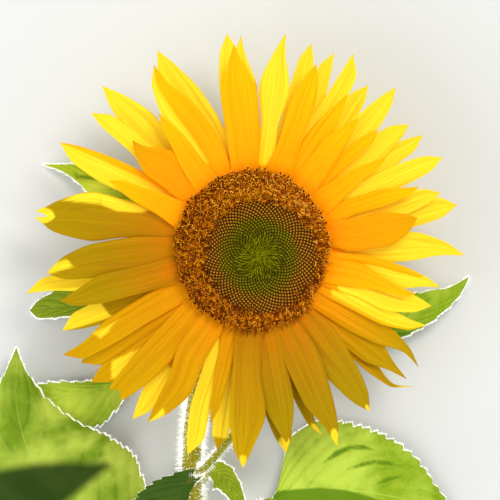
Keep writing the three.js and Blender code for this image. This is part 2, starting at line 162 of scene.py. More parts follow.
@dataclass(frozen=True)
class PetalSkin:
    """Skin of a ray floret: thin living tissue with a satin gloss, veined along its length.

    The eye sees a warm foot that clears towards the tip and fine parallel veins. Deeper fold lines,
    each with a soft shaded side, are painted shade, and lemon patches are painted sunlight where light
    shines through from behind.
    """

    name: str
    foot: str
    throat: str
    middle: str
    tip: str
    # Colour of the painted shade in fold lines.
    fold: str
    # Colours of the painted sunlight that shines through the tissue: body, foot and fold lines.
    glow: str = "#fce02e"
    sunlit_foot: str = "#fcdc16"
    sunlit_fold_shade: str = "#e2a800"
    vein_spacing: float = 0.8  # real veins are about 0.5 mm apart, drawn wider so that they show
    fold_spacing: float = 5.0
    painted_glow: float = 0.1  # painted light of its own colour that the tissue gives off, standing for light it passes on from behind

    def material(self) -> Material:
        """Builds the finish.

        Returns:
            The material.
        """
        skin = Finish(self.name)
        add = skin.add
        veins = skin.grain(0.015, 1 / self.vein_spacing)
        fine = add("TexNoise", {"Vector": veins, "Scale": 1.0, "Detail": 2.0})
        broad = add("TexNoise", {"Vector": skin.grain(0.012, 0.22), "Scale": 1.0, "Detail": 1.0})
        pleats = skin.grain(0.006, 1 / self.fold_spacing)
        folds = add("TexNoise", {"Vector": pleats, "Scale": 1.0, "Detail": 0.6})
        run = add("Attribute", output="Fac", attribute_name="run")
        run = add("Math", (broad, 0.35, run), operation="MULTIPLY_ADD")
        stops = ((0.15, self.foot), (0.42, self.throat), (0.75, self.middle), (1.0, self.tip))
        shaded = add("ValToRGB", (run,), stops=stops)
        sunlit_ramp = add("ValToRGB", (run,), stops=((0.1, self.sunlit_foot), (0.4, self.glow), (1.0, self.glow)))
        # Lemon patches of painted sunlight, with fold lines of their own.
        sun = add("Attribute", output="Fac", attribute_name="sun")
        ragged = add("Math", (fine, 0.05, sun), operation="MULTIPLY_ADD")
        sun = add("MapRange", (ragged, 0.012, 0.038), interpolation_type="SMOOTHSTEP")
        colour = add("Mix", {0: sun, 6: shaded, 7: sunlit_ramp}, 2, data_type="RGBA")
        line = add("Mix", {0: sun, 6: self.fold, 7: self.sunlit_fold_shade}, 2, data_type="RGBA")
        streak = add("MapRange", (fine, 0.4, 0.7, 0.0, 0.5))
        # Crease lines and the soft shaded side of each fold are painted shade; the fine streaks are veins.
        off_fold = add("Math", (add("Math", (folds, 0.5), operation="SUBTRACT"),), operation="ABSOLUTE")
        crease_shade = add("MapRange", (off_fold, 0.0, 0.05, 0.5, 0.0), interpolation_type="SMOOTHSTEP")
        lee = add("MapRange", (folds, 0.5, 0.62, 0.0, 0.2))
        veins_and_fold_shade = add("Math", (streak, crease_shade), operation="MAXIMUM")
        veins_and_fold_shade = add("Math", (veins_and_fold_shade, lee), operation="MAXIMUM")
        veined = add("Mix", {0: veins_and_fold_shade, 6: colour, 7: line}, 2, data_type="RGBA")
        height = add("Math", (folds, 4.0, fine), operation="MULTIPLY_ADD")
        return skin.done(
            {
                "Base Color": veined,
                "Roughness": add("MapRange", (fine, 0.0, 1.0, 0.45, 0.65)),
                "Normal": add("Bump", {"Strength": 0.6, "Distance": 0.3 * MM, "Height": height}),
                "Specular IOR Level": 0.05,
                # The tissue gives off a faint painted light of its own colour.
                "Emission Color": veined,
                "Emission Strength": self.painted_glow,
                "Subsurface Weight": 0.15,
                "Subsurface Radius": (1.0, 0.8, 0.1),
                "Subsurface Scale": 1 * MM,
            }
        )


@dataclass(frozen=True)
class LeafSkin:
    """Skin of a leaf: matt living tissue, quilted between sunken side veins, with a pale downy margin.

    The eye sees soft swells with a crescent of painted shade beside each side vein, a faint net of small
    veins, and a bright thin line of pale down on the margin that is partly a painted highlight. Where the
    leaf lies in shade its colour is painted darker.
    """

    name: str
    light: str
    deep: str
    lee: str  # colour of the painted shade: the crescents beside side veins and the parts that lie in shade
    vein: str
    # Pale down on the margin, brightened as a painted highlight.
    margin: str = "#e6efcc"
    blur: float = 1.0  # half the width of the edge between light and shade, in mm
    net_size: float = 4.0  # real meshes of the net are about 2 mm, drawn wider so that they show
    net_share: float = 0.04
    vein_share: float = 0.12
    fold_share: float = 0.6  # how dark the painted shade beside a side vein gets
    down_share: float = 0.22  # how far the down on the blade pales it where it stands thickest
    greening: float = 0.42  # how much deeper its green gets towards the tip
    dapples: tuple[float, float] = (0.22, 0.42)  # strengths of the mottle that are deep green and lit green; on soft and hazy leaves the lit dapples are painted sunlight

    def material(self) -> Material:
        """Builds the finish.

        Returns:
            The material.
        """
        skin = Finish(self.name)
        add = skin.add
        across = add("Attribute", output="Fac", attribute_name="across")
        across = add("Math", (across,), operation="ABSOLUTE")
        order = add("Attribute", output="Fac", attribute_name="order")
        off_vein = add("Math", (order, 0.5), operation="PINGPONG")
        side_veins = (off_vein, 0.015, 0.05, self.vein_share, 0.0)
        side_veins = add("MapRange", side_veins, interpolation_type="SMOOTHSTEP")
        midrib = add("MapRange", (across, 0.006, 0.022, 0.42, 0.0), interpolation_type="SMOOTHSTEP")
        meshes = {"Vector": skin.grain(1 / self.net_size, 1 / self.net_size), "Scale": 1.0}
        off_net = add("TexVoronoi", meshes, "Distance", feature="DISTANCE_TO_EDGE")
        net = add("MapRange", (off_net, 0.0, 0.15, self.net_share, 0.0))
        veins = add("Math", (side_veins, midrib), operation="MAXIMUM")
        veins = add("Math", (veins, net), operation="MAXIMUM")
        mottle = add("TexNoise", {"Vector": skin.grain(0.035, 0.035), "Scale": 1.0, "Detail": 4.0})
        run = add("Attribute", output="Fac", attribute_name="run")
        lit = add("Math", (run, -self.greening, mottle), operation="MULTIPLY_ADD")
        lit = add("MapRange", (lit, *self.dapples))
        colour = add("Mix", {0: lit, 6: self.deep, 7: self.light}, 2, data_type="RGBA")
        down = add("TexNoise", {"Vector": skin.grain(1.1, 1.1), "Scale": 1.0, "Detail": 3.0})
        down = add("MapRange", (down, 0.42, 0.68, 0.0, self.down_share))
        pale = add("Math", (down, veins), operation="MAXIMUM")
        colour = add("Mix", {0: pale, 6: colour, 7: self.vein}, 2, data_type="RGBA")
        # Crescents of painted shade beside each side vein, weaker where the mottle is light and gone near the margin.
        past_vein = add("Math", (order,), operation="FRACT")
        painted_vein_shade = add("MapRange", (past_vein, 0.02, 0.36, 1.0, 0.0), interpolation_type="SMOOTHERSTEP")
        for fade in ((mottle, 0.44, 0.56, self.fold_share, 0.04), (across, 0.9, 0.6)):
            painted_vein_shade = add("Math", (painted_vein_shade, add("MapRange", fade)), operation="MULTIPLY")
        # Outlines of painted shade, where the leaf lies in shade, seen from above.
        shade = add("Attribute", output="Fac", attribute_name="shade")
        shade = add("MapRange", (shade, -self.blur, self.blur, 0.0, 0.94), interpolation_type="SMOOTHSTEP")
        dark = add("Math", (painted_vein_shade, shade), operation="MAXIMUM")
        colour = add("Mix", {0: dark, 6: colour, 7: self.lee}, 2, data_type="RGBA")
        # Pale down on the margin, partly its own colour and partly a painted highlight.
        edge = add("Attribute", output="Fac", attribute_name="edge")
        edge = add("MapRange", (edge, 0.25, 0.7, 0.8, 0.0), interpolation_type="SMOOTHSTEP")
        pores = add("TexNoise", {"Vector": skin.grain(0.9, 0.9), "Scale": 1.0, "Detail": 4.0})
        height = add("Math", (pores, 1.5, veins), operation="MULTIPLY_ADD")
        return skin.done(
            {
                "Base Color": add("Mix", {0: edge, 6: colour, 7: self.margin}, 2, data_type="RGBA"),
                "Roughness": add("MapRange", (pores, 0.0, 1.0, 0.55, 0.8)),
                "Normal": add("Bump", {"Strength": 0.5, "Distance": 0.5 * MM, "Height": height}),
                "Specular IOR Level": 0.15,
            }
        )


@dataclass(frozen=True)
class FibrousSkin:
    """Skin of stem, cup or bract: firm green tissue, streaked along its fibres and matt with down.

    The eye sees long soft streaks of two greens and, on the stem, a brown blush in places.
    """

    name: str
    light: str
    deep: str
    streak_spacing: float = 1.5
    blush: str = ""
    blush_share: float = 0.0

    def material(self) -> Material:
        """Builds the finish.

        Returns:
            The material.
        """
        skin = Finish(self.name)
        add = skin.add
        fibres = skin.grain(0.03, 1 / self.streak_spacing)
        streaks = add("TexNoise", {"Vector": fibres, "Scale": 1.0, "Detail": 3.0})
        colour = {0: add("MapRange", (streaks, 0.35, 0.65)), 6: self.deep, 7: self.light}
        colour = add("Mix", colour, 2, data_type="RGBA")
        if self.blush:
            patches = add("TexNoise", {"Vector": skin.grain(0.04, 0.12), "Scale": 1.0, "Detail": 2.0})
            amount = add("MapRange", (patches, 0.5, 0.75, 0.0, self.blush_share))
            colour = add("Mix", {0: amount, 6: colour, 7: self.blush}, 2, data_type="RGBA")
        pits = add("TexNoise", {"Vector": skin.grain(0.8, 1.6), "Scale": 1.0, "Detail": 2.0})
        height = add("Math", (pits, 0.4, streaks), operation="MULTIPLY_ADD")
        return skin.done(
            {
                "Base Color": colour,
                "Roughness": add("MapRange", (pits, 0.0, 1.0, 0.5, 0.75)),
                "Normal": add("Bump", {"Strength": 0.5, "Distance": 0.3 * MM, "Height": height}),
                "Specular IOR Level": 0.15,
            }
        )


@dataclass(frozen=True)
class SmallTissue:
    """Tissue of a part too small for a pattern. Its shades are dealt out part by part instead.

    The eye sees a matt speckle of near shades, as florets, buds and hairs have at this size.
    """

    name: str
    shades: tuple[str, ...]
    roughness: float = 0.6
    sheen: float = 0.0
    painted_glow: float = 0.0  # painted light of its own colour that a hair gives off, standing for light it passes on from behind

    def materials(self) -> list[Material]:
        """Builds a plain finish for each shade.

        Returns:
            The materials, in the order of the shades.
        """
        made = []
        for number, shade in enumerate(self.shades):
            inputs = {"Base Color": shade, "Roughness": self.roughness, "Sheen Weight": self.sheen}
            inputs |= {"Specular IOR Level": 0.04, "Emission Color": shade, "Emission Strength": self.painted_glow}
            made.append(Finish(f"{self.name}_{number}").done(inputs))
        return made


@dataclass(frozen=True)
class FloorPaint:
    """Matt pale paint of the studio floor, rolled on, with the faintest change of gloss."""

    name: str = "matt_floor_paint"
    colour: str = "#dce1e7"

    def material(self) -> Material:
        """Builds the finish.

        Returns:
            The material.
        """
        paint = Finish(self.name)
        where = paint.add("TexCoord", output="Object")
        cloud = paint.add("TexNoise", {"Vector": where, "Scale": 30.0})
        gloss = paint.add("MapRange", (cloud, 0.0, 1.0, 0.8, 0.9))
        return paint.done({"Base Color": self.colour, "Roughness": gloss})


# White hairs that give off a faint painted light of their own.
BRISTLE = SmallTissue("bristle_tissue", ("#ffffff", "#f8f8ee", "#ffffff"), 0.4, 0.3, 0.65)


class Tint(Enum):
    """How the skin of a ray floret is coloured outside its patches of painted sunlight."""

    # GOLD is the plain skin. The others are copies painted darker as shade, three of them over the whole ray and two
    # more and more towards the tip.
    GOLD = PetalSkin("ray_skin_gold", "#fc9800", "#fcaa00", "#fcb400", "#fcbe00", "#ee9200")
    MELLOW = PetalSkin("ray_skin_mellow", "#e68e00", "#d69400", "#ce9a00", "#c69c00", "#ba7e00")
    AMBER = PetalSkin("ray_skin_amber", "#fa9000", "#f69800", "#ee9e00", "#d8a000", "#d88600")
    WANING = PetalSkin("ray_skin_waning", "#fa9600", "#e89c00", "#ca9a00", "#b69600", "#a87600")
    DUSKY = PetalSkin("ray_skin_dusky", "#b06a00", "#b88200", "#b89000", "#c0a000", "#986c00")
    SHADED = PetalSkin("ray_skin_shaded", "#c87400", "#b67e00", "#a68600", "#a68c00", "#966800")


def blended(colour: str, towards: str = "#b9c8a0", share: float = 0.4) -> str:
    """Draws an sRGB colour part of the way to another, that of pale down unless one is given."""
    pairs = ((int(colour[i : i + 2], 16), int(towards[i : i + 2], 16)) for i in (1, 3, 5))
    return "#" + "".join(f"{round(a + (b - a) * share):02x}" for a, b in pairs)


class LeafTint(Enum):
    """How a leaf's skin is coloured: its name, lit green, deep green, shade and veins."""

    # LIT and SUNNY are brighter copies for leaves in painted sunlight; the front leaf's tint is a darker copy for
    # painted shade.
    LIT = ("lit", "#bcd848", "#86aa04", "#5e8604", "#cce068")
    SUNNY = ("sunny", "#d6e236", "#a8bc04", "#74880a", "#dce67c")
    FRESH = ("fresh", "#a6ba1a", "#809800", "#587404", "#bacc64")
    DEEP = ("deep", "#3a5a16", "#2e4c0e", "#243e0a", "#6c8838")
    SOFT = ("soft", "#aec446", "#6c8e08", "#163400", "#b0c658")
    HAZY = ("hazy", "#c0da42", "#90b41c", "#7ca014", "#ccde70")

    def skins(self) -> list[Material]:
        """Builds the leaf's finishes.

        Returns:
            Materials of the upper side, of the paler lower side, and of the stalk.
        """
        name, *shades = self.value
        rest, stalk = {}, ("#b0b028", "#8e9212")
        if self is LeafTint.LIT:
            rest = {"fold_share": 0.3}
        elif self is LeafTint.DEEP:
            # The leaf in shade also gets a darker margin and stalk and faint down: painted shade.
            rest, stalk = {"down_share": 0.06, "margin": "#5c7430"}, ("#5c6c1c", "#46560f")
        elif self in (LeafTint.SOFT, LeafTint.HAZY):
            rest = {"blur": 4.0, "vein_share": 0.06, "fold_share": 0.2, "down_share": 0.08}
            # Their lit dapples are painted sunlight.
            rest |= {"greening": 0.12, "dapples": (0.34, 0.56)}
        upper = LeafSkin(f"leaf_upper_{name}", *shades, **rest).material()
        lower = LeafSkin(f"leaf_lower_{name}", *map(blended, shades), **rest).material()
        return [upper, lower, FibrousSkin(f"leaf_stalk_{name}", *stalk, 1.0).material()]


# ---------------------------------------------------------------- shapes


@dataclass(frozen=True)
class Patch:
    """Part of a blade picked out by its run and by how far across it lies."""

    start: float
    end: float = 2.0
    low: float = -2.0
    high: float = 2.0
    slant: float = 0.0  # how far the patch's ends lean as they cross the blade
    rounding: float = 0.05  # how far its lower end draws back towards the edges
    side_blur: float = 7.0  # how much softer its sides are than its ends

    def depth(self, run: Array, across: Array) -> Array:
        """Says how far each point of a blade lies inside the patch.

        Args:
            run: how far along the blade each lies, from 0 to 1.
            across: how far to its left, from -1 to 1.

        Returns:
            The depth as a share of the run, under 0 outside.
        """
        leaning = run + self.slant * across
        inside = np.minimum(leaning - self.start - self.rounding * across**2, self.end - leaning)
        return np.minimum(inside, np.minimum(across - self.low, self.high - across) / self.side_blur)

    @staticmethod
    def deepest(patches: tuple[Patch, ...], run: Array, across: Array) -> Array:
        """Says how far each point lies inside any of several patches, under 0 outside them all."""
        depths = [patch.depth(run, across) for patch in patches]
        return np.maximum.reduce([np.full_like(run + across, -1.0), *depths])


def outlined(outlines: tuple[Outline, ...], x: Array, y: Array) -> Array:
    """Says how far each point lies inside any of several convex outlines, seen from above.

    Args:
        outlines: corners of each in millimetres, counter-clockwise.
        x: the points' first coordinates.
        y: their second ones.

    Returns:
        The depth in millimetres, under 0 outside.
    """
    far = 50.0
    deepest = np.full_like(x, -far)
    for corners in outlines:
        depth = np.full_like(x, far)
        for (ax, ay), (bx, by) in zip(corners, corners[1:] + corners[:1]):
            span = math.hypot(bx - ax, by - ay)
            depth = np.minimum(depth, ((bx - ax) * (y - ay) - (by - ay) * (x - ax)) / span)
        deepest = np.maximum(deepest, depth)
    return deepest


@dataclass
class Shape:
    """Points and faces of a piece before it becomes a mesh, in millimetres."""

    points: Array
    quads: Array = field(default_factory=lambda: np.zeros((0, 4), int))
    tris: Array = field(default_factory=lambda: np.zeros((0, 3), int))
    shades: Array | None = None  # number of the material of each quad and then of each triangle
    fields: dict[str, Array] = field(default_factory=dict)

    def face_shades(self) -> Array:
        """Number of the material of each face."""
        return np.zeros(len(self.quads) + len(self.tris), int) if self.shades is None else self.shades

    @staticmethod
    def merged(shapes: list[Shape]) -> Shape:
        """Puts several shapes into one.

        Args:
            shapes: shapes that all carry the same fields.

        Returns:
            One shape that holds them all.
        """
        starts = np.cumsum([0] + [len(s.points) for s in shapes])
        quads = np.concatenate([s.quads + n for s, n in zip(shapes, starts)])
        tris = np.concatenate([s.tris + n for s, n in zip(shapes, starts)])
        quad_shades = [s.face_shades()[: len(s.quads)] for s in shapes]
        tri_shades = [s.face_shades()[len(s.quads) :] for s in shapes]
        fields = {name: np.concatenate([s.fields[name] for s in shapes]) for name in shapes[0].fields}
        points = np.concatenate([s.points for s in shapes])
        return Shape(points, quads, tris, np.concatenate(quad_shades + tri_shades), fields)

    def scattered(self, places: Array, axes: Array, shades: Array) -> Shape:
        """Copies the shape to many places.

        Args:
            places: (n, 3) where each copy stands.
            axes: (n, 3, 3) the copy's own X, Y and Z as rows, scaled as the copy is.
            shades: (n,) number of the material of each copy.

        Returns:
            One shape that holds all the copies.
        """
        points = np.einsum("pk,nkc->npc", self.points, axes) + places[:, None]
        step = np.arange(len(places))[:, None, None] * len(self.points)
        quads = (self.quads[None] + step).reshape(-1, 4)
        tris = (self.tris[None] + step).reshape(-1, 3)
        dealt = np.concatenate([np.repeat(shades, len(self.quads)), np.repeat(shades, len(self.tris))])
        return Shape(points.reshape(-1, 3), quads, tris, dealt)

    def piece(self, name: str, materials: list[Material], slot: str, *nodes: str) -> None:
        """Makes the shape a piece of the scene that rides on the body.

        Args:
            name: the piece's name.
            materials: its materials, in the order of its shades.
            slot: name of the record's material slot for it; not used.
            *nodes: nodes of the solids that it stands for.
        """
        mesh = bpy.data.meshes.new(name)
        mesh.from_pydata((self.points * MM).tolist(), [], self.quads.tolist() + self.tris.tolist())
        for material in materials:
            mesh.materials.append(material)
        mesh.polygons.foreach_set("material_index", self.face_shades().astype(np.int32))
        mesh.polygons.foreach_set("use_smooth", np.ones(len(mesh.polygons), bool))
        for field_name, values in self.fields.items():
            kind, key = ("FLOAT", "value") if values.ndim == 1 else ("FLOAT_VECTOR", "vector")
            layer = mesh.attributes.new(field_name, kind, "POINT")
            layer.data.foreach_set(key, values.astype(np.float32).ravel())
        mesh.validate()
        mesh.update()
        made = bpy.data.objects.new(name, mesh)
        bpy.context.scene.collection.objects.link(made)
        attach(made, BODY)
        if nodes:
            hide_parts(*nodes)
        LOG.info("%s: %d faces", name, len(mesh.polygons))


def smooth_step(value: Array | float) -> Array | float:
    """Eases a share from 0 to 1."""
    held = np.clip(value, 0, 1)
    return held * held * (3 - 2 * held)


def flowing(places: tuple[float, ...], values: tuple[float, ...], at: Array) -> Array:
    """Reads a smooth curve through given values, that never overshoots them.

    Args:
        places: where the values hold, in rising order.
        values: the values there.
        at: places to read the curve at.

    Returns:
        The curve's values there.
    """
    x, y = np.array(places, float), np.array(values, float)
    rise = np.diff(y) / np.diff(x)
    same = rise[:-1] * rise[1:] > 0
    mean = 2 * rise[:-1] * rise[1:] / np.where(same, rise[:-1] + rise[1:], 1)
    slope = np.concatenate([rise[:1], np.where(same, mean, 0), rise[-1:]])
    span = np.clip(np.searchsorted(x, at, side="right") - 1, 0, len(x) - 2)
    step = np.diff(x)[span]
    t = np.clip((at - x[span]) / step, 0, 1)
    rest = 1 - t
    value = y[span] * (1 + 2 * t) * rest**2 + y[span + 1] * t * t * (3 - 2 * t)
    return value + step * (slope[span] * t * rest**2 - slope[span + 1] * t * t * rest)


def unit(vectors: Array) -> Array:
    """Vectors of length 1 along the given ones."""
    return vectors / np.maximum(np.linalg.norm(vectors, axis=-1, keepdims=True), 1e-9)


def lengths_of(path: Array) -> Array:
    """Lengths of a path's steps."""
    return np.linalg.norm(np.diff(path, axis=0), axis=1)


def grid_quads(rows: int, columns: int, start: int = 0, flip: bool = False) -> Array:
    """Joins neighbouring points of a grid.

    Args:
        rows: points along the grid.
        columns: points across it.
        start: number of its first point.
        flip: turns the faces round.

    Returns:
        (n, 4) corner numbers of the quads.
    """
    at = start + np.arange(rows * columns).reshape(rows, columns)
    quads = np.stack([at[:-1, :-1], at[:-1, 1:], at[1:, 1:], at[1:, :-1]], axis=-1).reshape(-1, 4)
    return quads[:, ::-1] if flip else quads


def ring_faces(count: int, sides: int, inward: bool = False) -> tuple[Array, Array]:
    """Joins rings of points, and closes the first and the last of them.

    Args:
        count: number of rings.
        sides: points on each.
        inward: turns the faces round.

    Returns:
        Corner numbers of the quads and of the triangles.
    """
    at = np.arange(count * sides).reshape(count, sides)
    after = np.roll(at, -1, axis=1)
    quads = np.stack([at[:-1], after[:-1], after[1:], at[1:]], axis=-1).reshape(-1, 4)
    fans = [[at[0, 0], at[0, i + 1], at[0, i]] for i in range(1, sides - 1)]
    fans += [[at[-1, 0], at[-1, i], at[-1, i + 1]] for i in range(1, sides - 1)]
    tris = np.array(fans)
    return (quads[:, [0, 3, 2, 1]], tris[:, [0, 2, 1]]) if inward else (quads, tris)


def shell(top: Array, under: Array, fields: dict[str, Array]) -> Shape:
    """Makes a closed thin body between two grids of points.

    Args:
        top: (rows, columns, 3) upper face.
        under: the same points of the lower face.
        fields: a number or vector for each point of the grid, by name.

    Returns:
        The body. Faces of its lower side carry shade 1.
    """
    rows, columns = top.shape[:2]
    count = rows * columns
    at = np.arange(count).reshape(rows, columns)
    rim = np.concatenate([at[0, :], at[1:, -1], at[-1, -2::-1], at[-2:0:-1, 0]])
    following = np.roll(rim, -1)
    wall = np.stack([rim, rim + count, following + count, following], axis=-1)
    upper, lower = grid_quads(rows, columns), grid_quads(rows, columns, count, True)
    points = np.concatenate([top.reshape(-1, 3), under.reshape(-1, 3)])
    shades = np.repeat([0, 1], [len(upper) + len(wall), len(lower)])
    both = {name: np.concatenate([v.reshape(count, *v.shape[2:])] * 2) for name, v in fields.items()}
    return Shape(points, np.concatenate([upper, wall, lower]), shades=shades, fields=both)


def aimed(out: Array, across: Array, aim: float) -> tuple[Array, Array]:
    """Coordinates of places that lie so far out along an aim and so far to its left."""
    return out * math.cos(aim) - across * math.sin(aim), out * math.sin(aim) + across * math.cos(aim)


def tube(path: Array, radii: Array, sides: int, flat: float = 1.0, first: tuple[float, ...] = (0, 1, 0)) -> Shape:
    """Makes a closed round body along a path.

    Args:
        path: (n, 3) points of its middle.
        radii: (n,) radius at each.
        sides: corners of its section.
        flat: thickness of the section as a share of its width.
        first: the way its section's width starts out, unless the path goes that way itself.

    Returns:
        The body, with run, across and grain fields.
    """
    ways = unit(np.gradient(path, axis=0))
    across, rings = np.array(first, float), []
    if abs(ways[0] @ across) > 0.9:
        across = np.array([1.0, 0.0, 0.0])
    angles = np.arange(sides) / sides * TURN
    for centre, way, radius in zip(path, ways, radii):
        across = unit(across - way * (across @ way))
        up = np.cross(way, across)
        ring = np.outer(np.cos(angles), across) + np.outer(np.sin(angles) * flat, up)
        rings.append(centre + radius * ring)
    count = len(path)
    length = np.concatenate([[0], np.cumsum(lengths_of(path))])
    run = np.repeat(length / max(length[-1], 1e-9), sides)
    around = np.tile(angles, count) * np.repeat(radii, sides)
    grain = np.stack([np.repeat(length, sides), around, np.zeros(len(run))], axis=-1)
    fields = {"run": run, "across": np.tile(np.cos(angles), count), "grain": grain}
    return Shape(np.concatenate(rings), *ring_faces(count, sides), fields=fields)


def axes_along(directions: Array, spin: Array, size: Array) -> Array:
    """Finds own axes for copies that stand along given directions.

    Args:
        directions: (n, 3) the way each copy's own Z points.
        spin: (n, 3) the way its own X should point as nearly as it can.
        size: (n,) scale of each copy.

    Returns:
        (n, 3, 3) axes as rows, scaled.
    """
    z = unit(directions)
    x = unit(spin - z * np.sum(spin * z, axis=1, keepdims=True))
    return np.stack([x, np.cross(z, x), z], axis=1) * size[:, None, None]


@dataclass(frozen=True)
class Hair:
    """A stiff white hair: a thin cone with a slight bend."""

    length: float
    radius: float
    clear: float  # how high its tip has to stand over the floor
    rings: int = 3  # corners along it, 2 for a straight one
    bend: float = 0.13
    worn: float = 0.8  # share of the hairs that skin facing straight up has lost

    def shape(self) -> Shape:
        """Builds one hair, standing on the origin along +Z.

        Returns:
            The hair.
        """
        run = np.linspace(0, 1, self.rings)
        path = np.stack([self.bend * run**2, 0 * run, run], axis=-1) * self.length
        made = tube(path, (1 - 0.9 * run**1.5) * self.radius, 3)
        made.fields = {}
        return made

    def coat(self, feet: Array, ways: Array, sizes: Array, rng: Rng, skin: Array | None = None) -> Shape:
        """Sets hairs on a skin, but for those that the floor would bend.

        Args:
            feet: (n, 3) where each would stand.
            ways: (n, 3) the way it would point.
            sizes: (n,) its scale.
            rng: source of their turns and shades.
            skin: (n, 3) the way the skin faces there, or None where no side of it is worn.

        Returns:
            One shape that holds them.
        """
        kept = (feet + ways * self.length * sizes[:, None])[:, 2] > self.clear
        if skin is not None:
            kept &= rng.uniform(0, 1, len(kept)) > self.worn * skin[:, 2]
        count = kept.sum()
        axes = axes_along(ways[kept], rng.normal(0, 1, (count, 3)), sizes[kept])
        return self.shape().scattered(feet[kept], axes, rng.integers(0, len(BRISTLE.shades), count))


@dataclass(frozen=True)
class Seat:
    """Where the frame that the flower is laid out in stands in the frame of the solids."""

    east: float
    north: float
    lift: float

    @classmethod
    def found(cls) -> Seat:
        """Reads the place of the head from the disc's own solid.

        Returns:
            The seat.
        """
        low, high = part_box("disc")
        bottom = GAP + RIM_HEIGHT - math.tan(NOD) * DISC_RADIUS
        return cls((low.x + high.x) / 2 / MM, (low.y + high.y) / 2 / MM, low.z / MM - bottom)

    def moved(self, shape: Shape) -> Shape:
        """Moves a shape that is laid out over the floor to its place."""
        shape.points = shape.points + (self.east, self.north, self.lift)
        return shape

    def on_head(self, shape: Shape) -> Shape:
        """Lifts a shape that is laid out over the rim plane to its nodding place.

        Args:
            shape: the shape.

        Returns:
            The same shape, moved.
        """
        tilted = math.tan(NOD) * shape.points[:, 1] + RIM_HEIGHT
        shape.points = np.column_stack([shape.points[:, :2], shape.points[:, 2] + tilted])
        return self.moved(shape)


# ---------------------------------------------------------------- rays


@dataclass(frozen=True)
class Ray:
    """One ray floret as the solids have it, with the turns of its own that only the scene shows.

    left and right are how far its edges lie from the line of its aim, at 0.3, 0.6 and 0.85 of its
    run. Left is the side that is turned to from +X towards +Y.
    """

    aim: float  # degrees from +X towards +Y
    reach: float
    tier: float  # 0 is the front one, 4 the back one
    tint: Tint
    left: tuple[float, float, float]
    right: tuple[float, float, float]
    # Patches of painted sunlight that shines through it from behind.
    sun: tuple[Patch, ...] = ()
    slide: float = 0.0  # how far its foot is shifted to its left
    curl: float = 0.0  # how far its tip rises
    notch: float = 0.0  # depth of a cleft in its tip, as a share of its length
    blunt: float = 0.0  # how far its two prongs stand from the middle, if it has a cleft
    sunlit_spots: tuple[Outline, ...] = ()  # outlines of painted sunlight that shines through it, seen from above the head
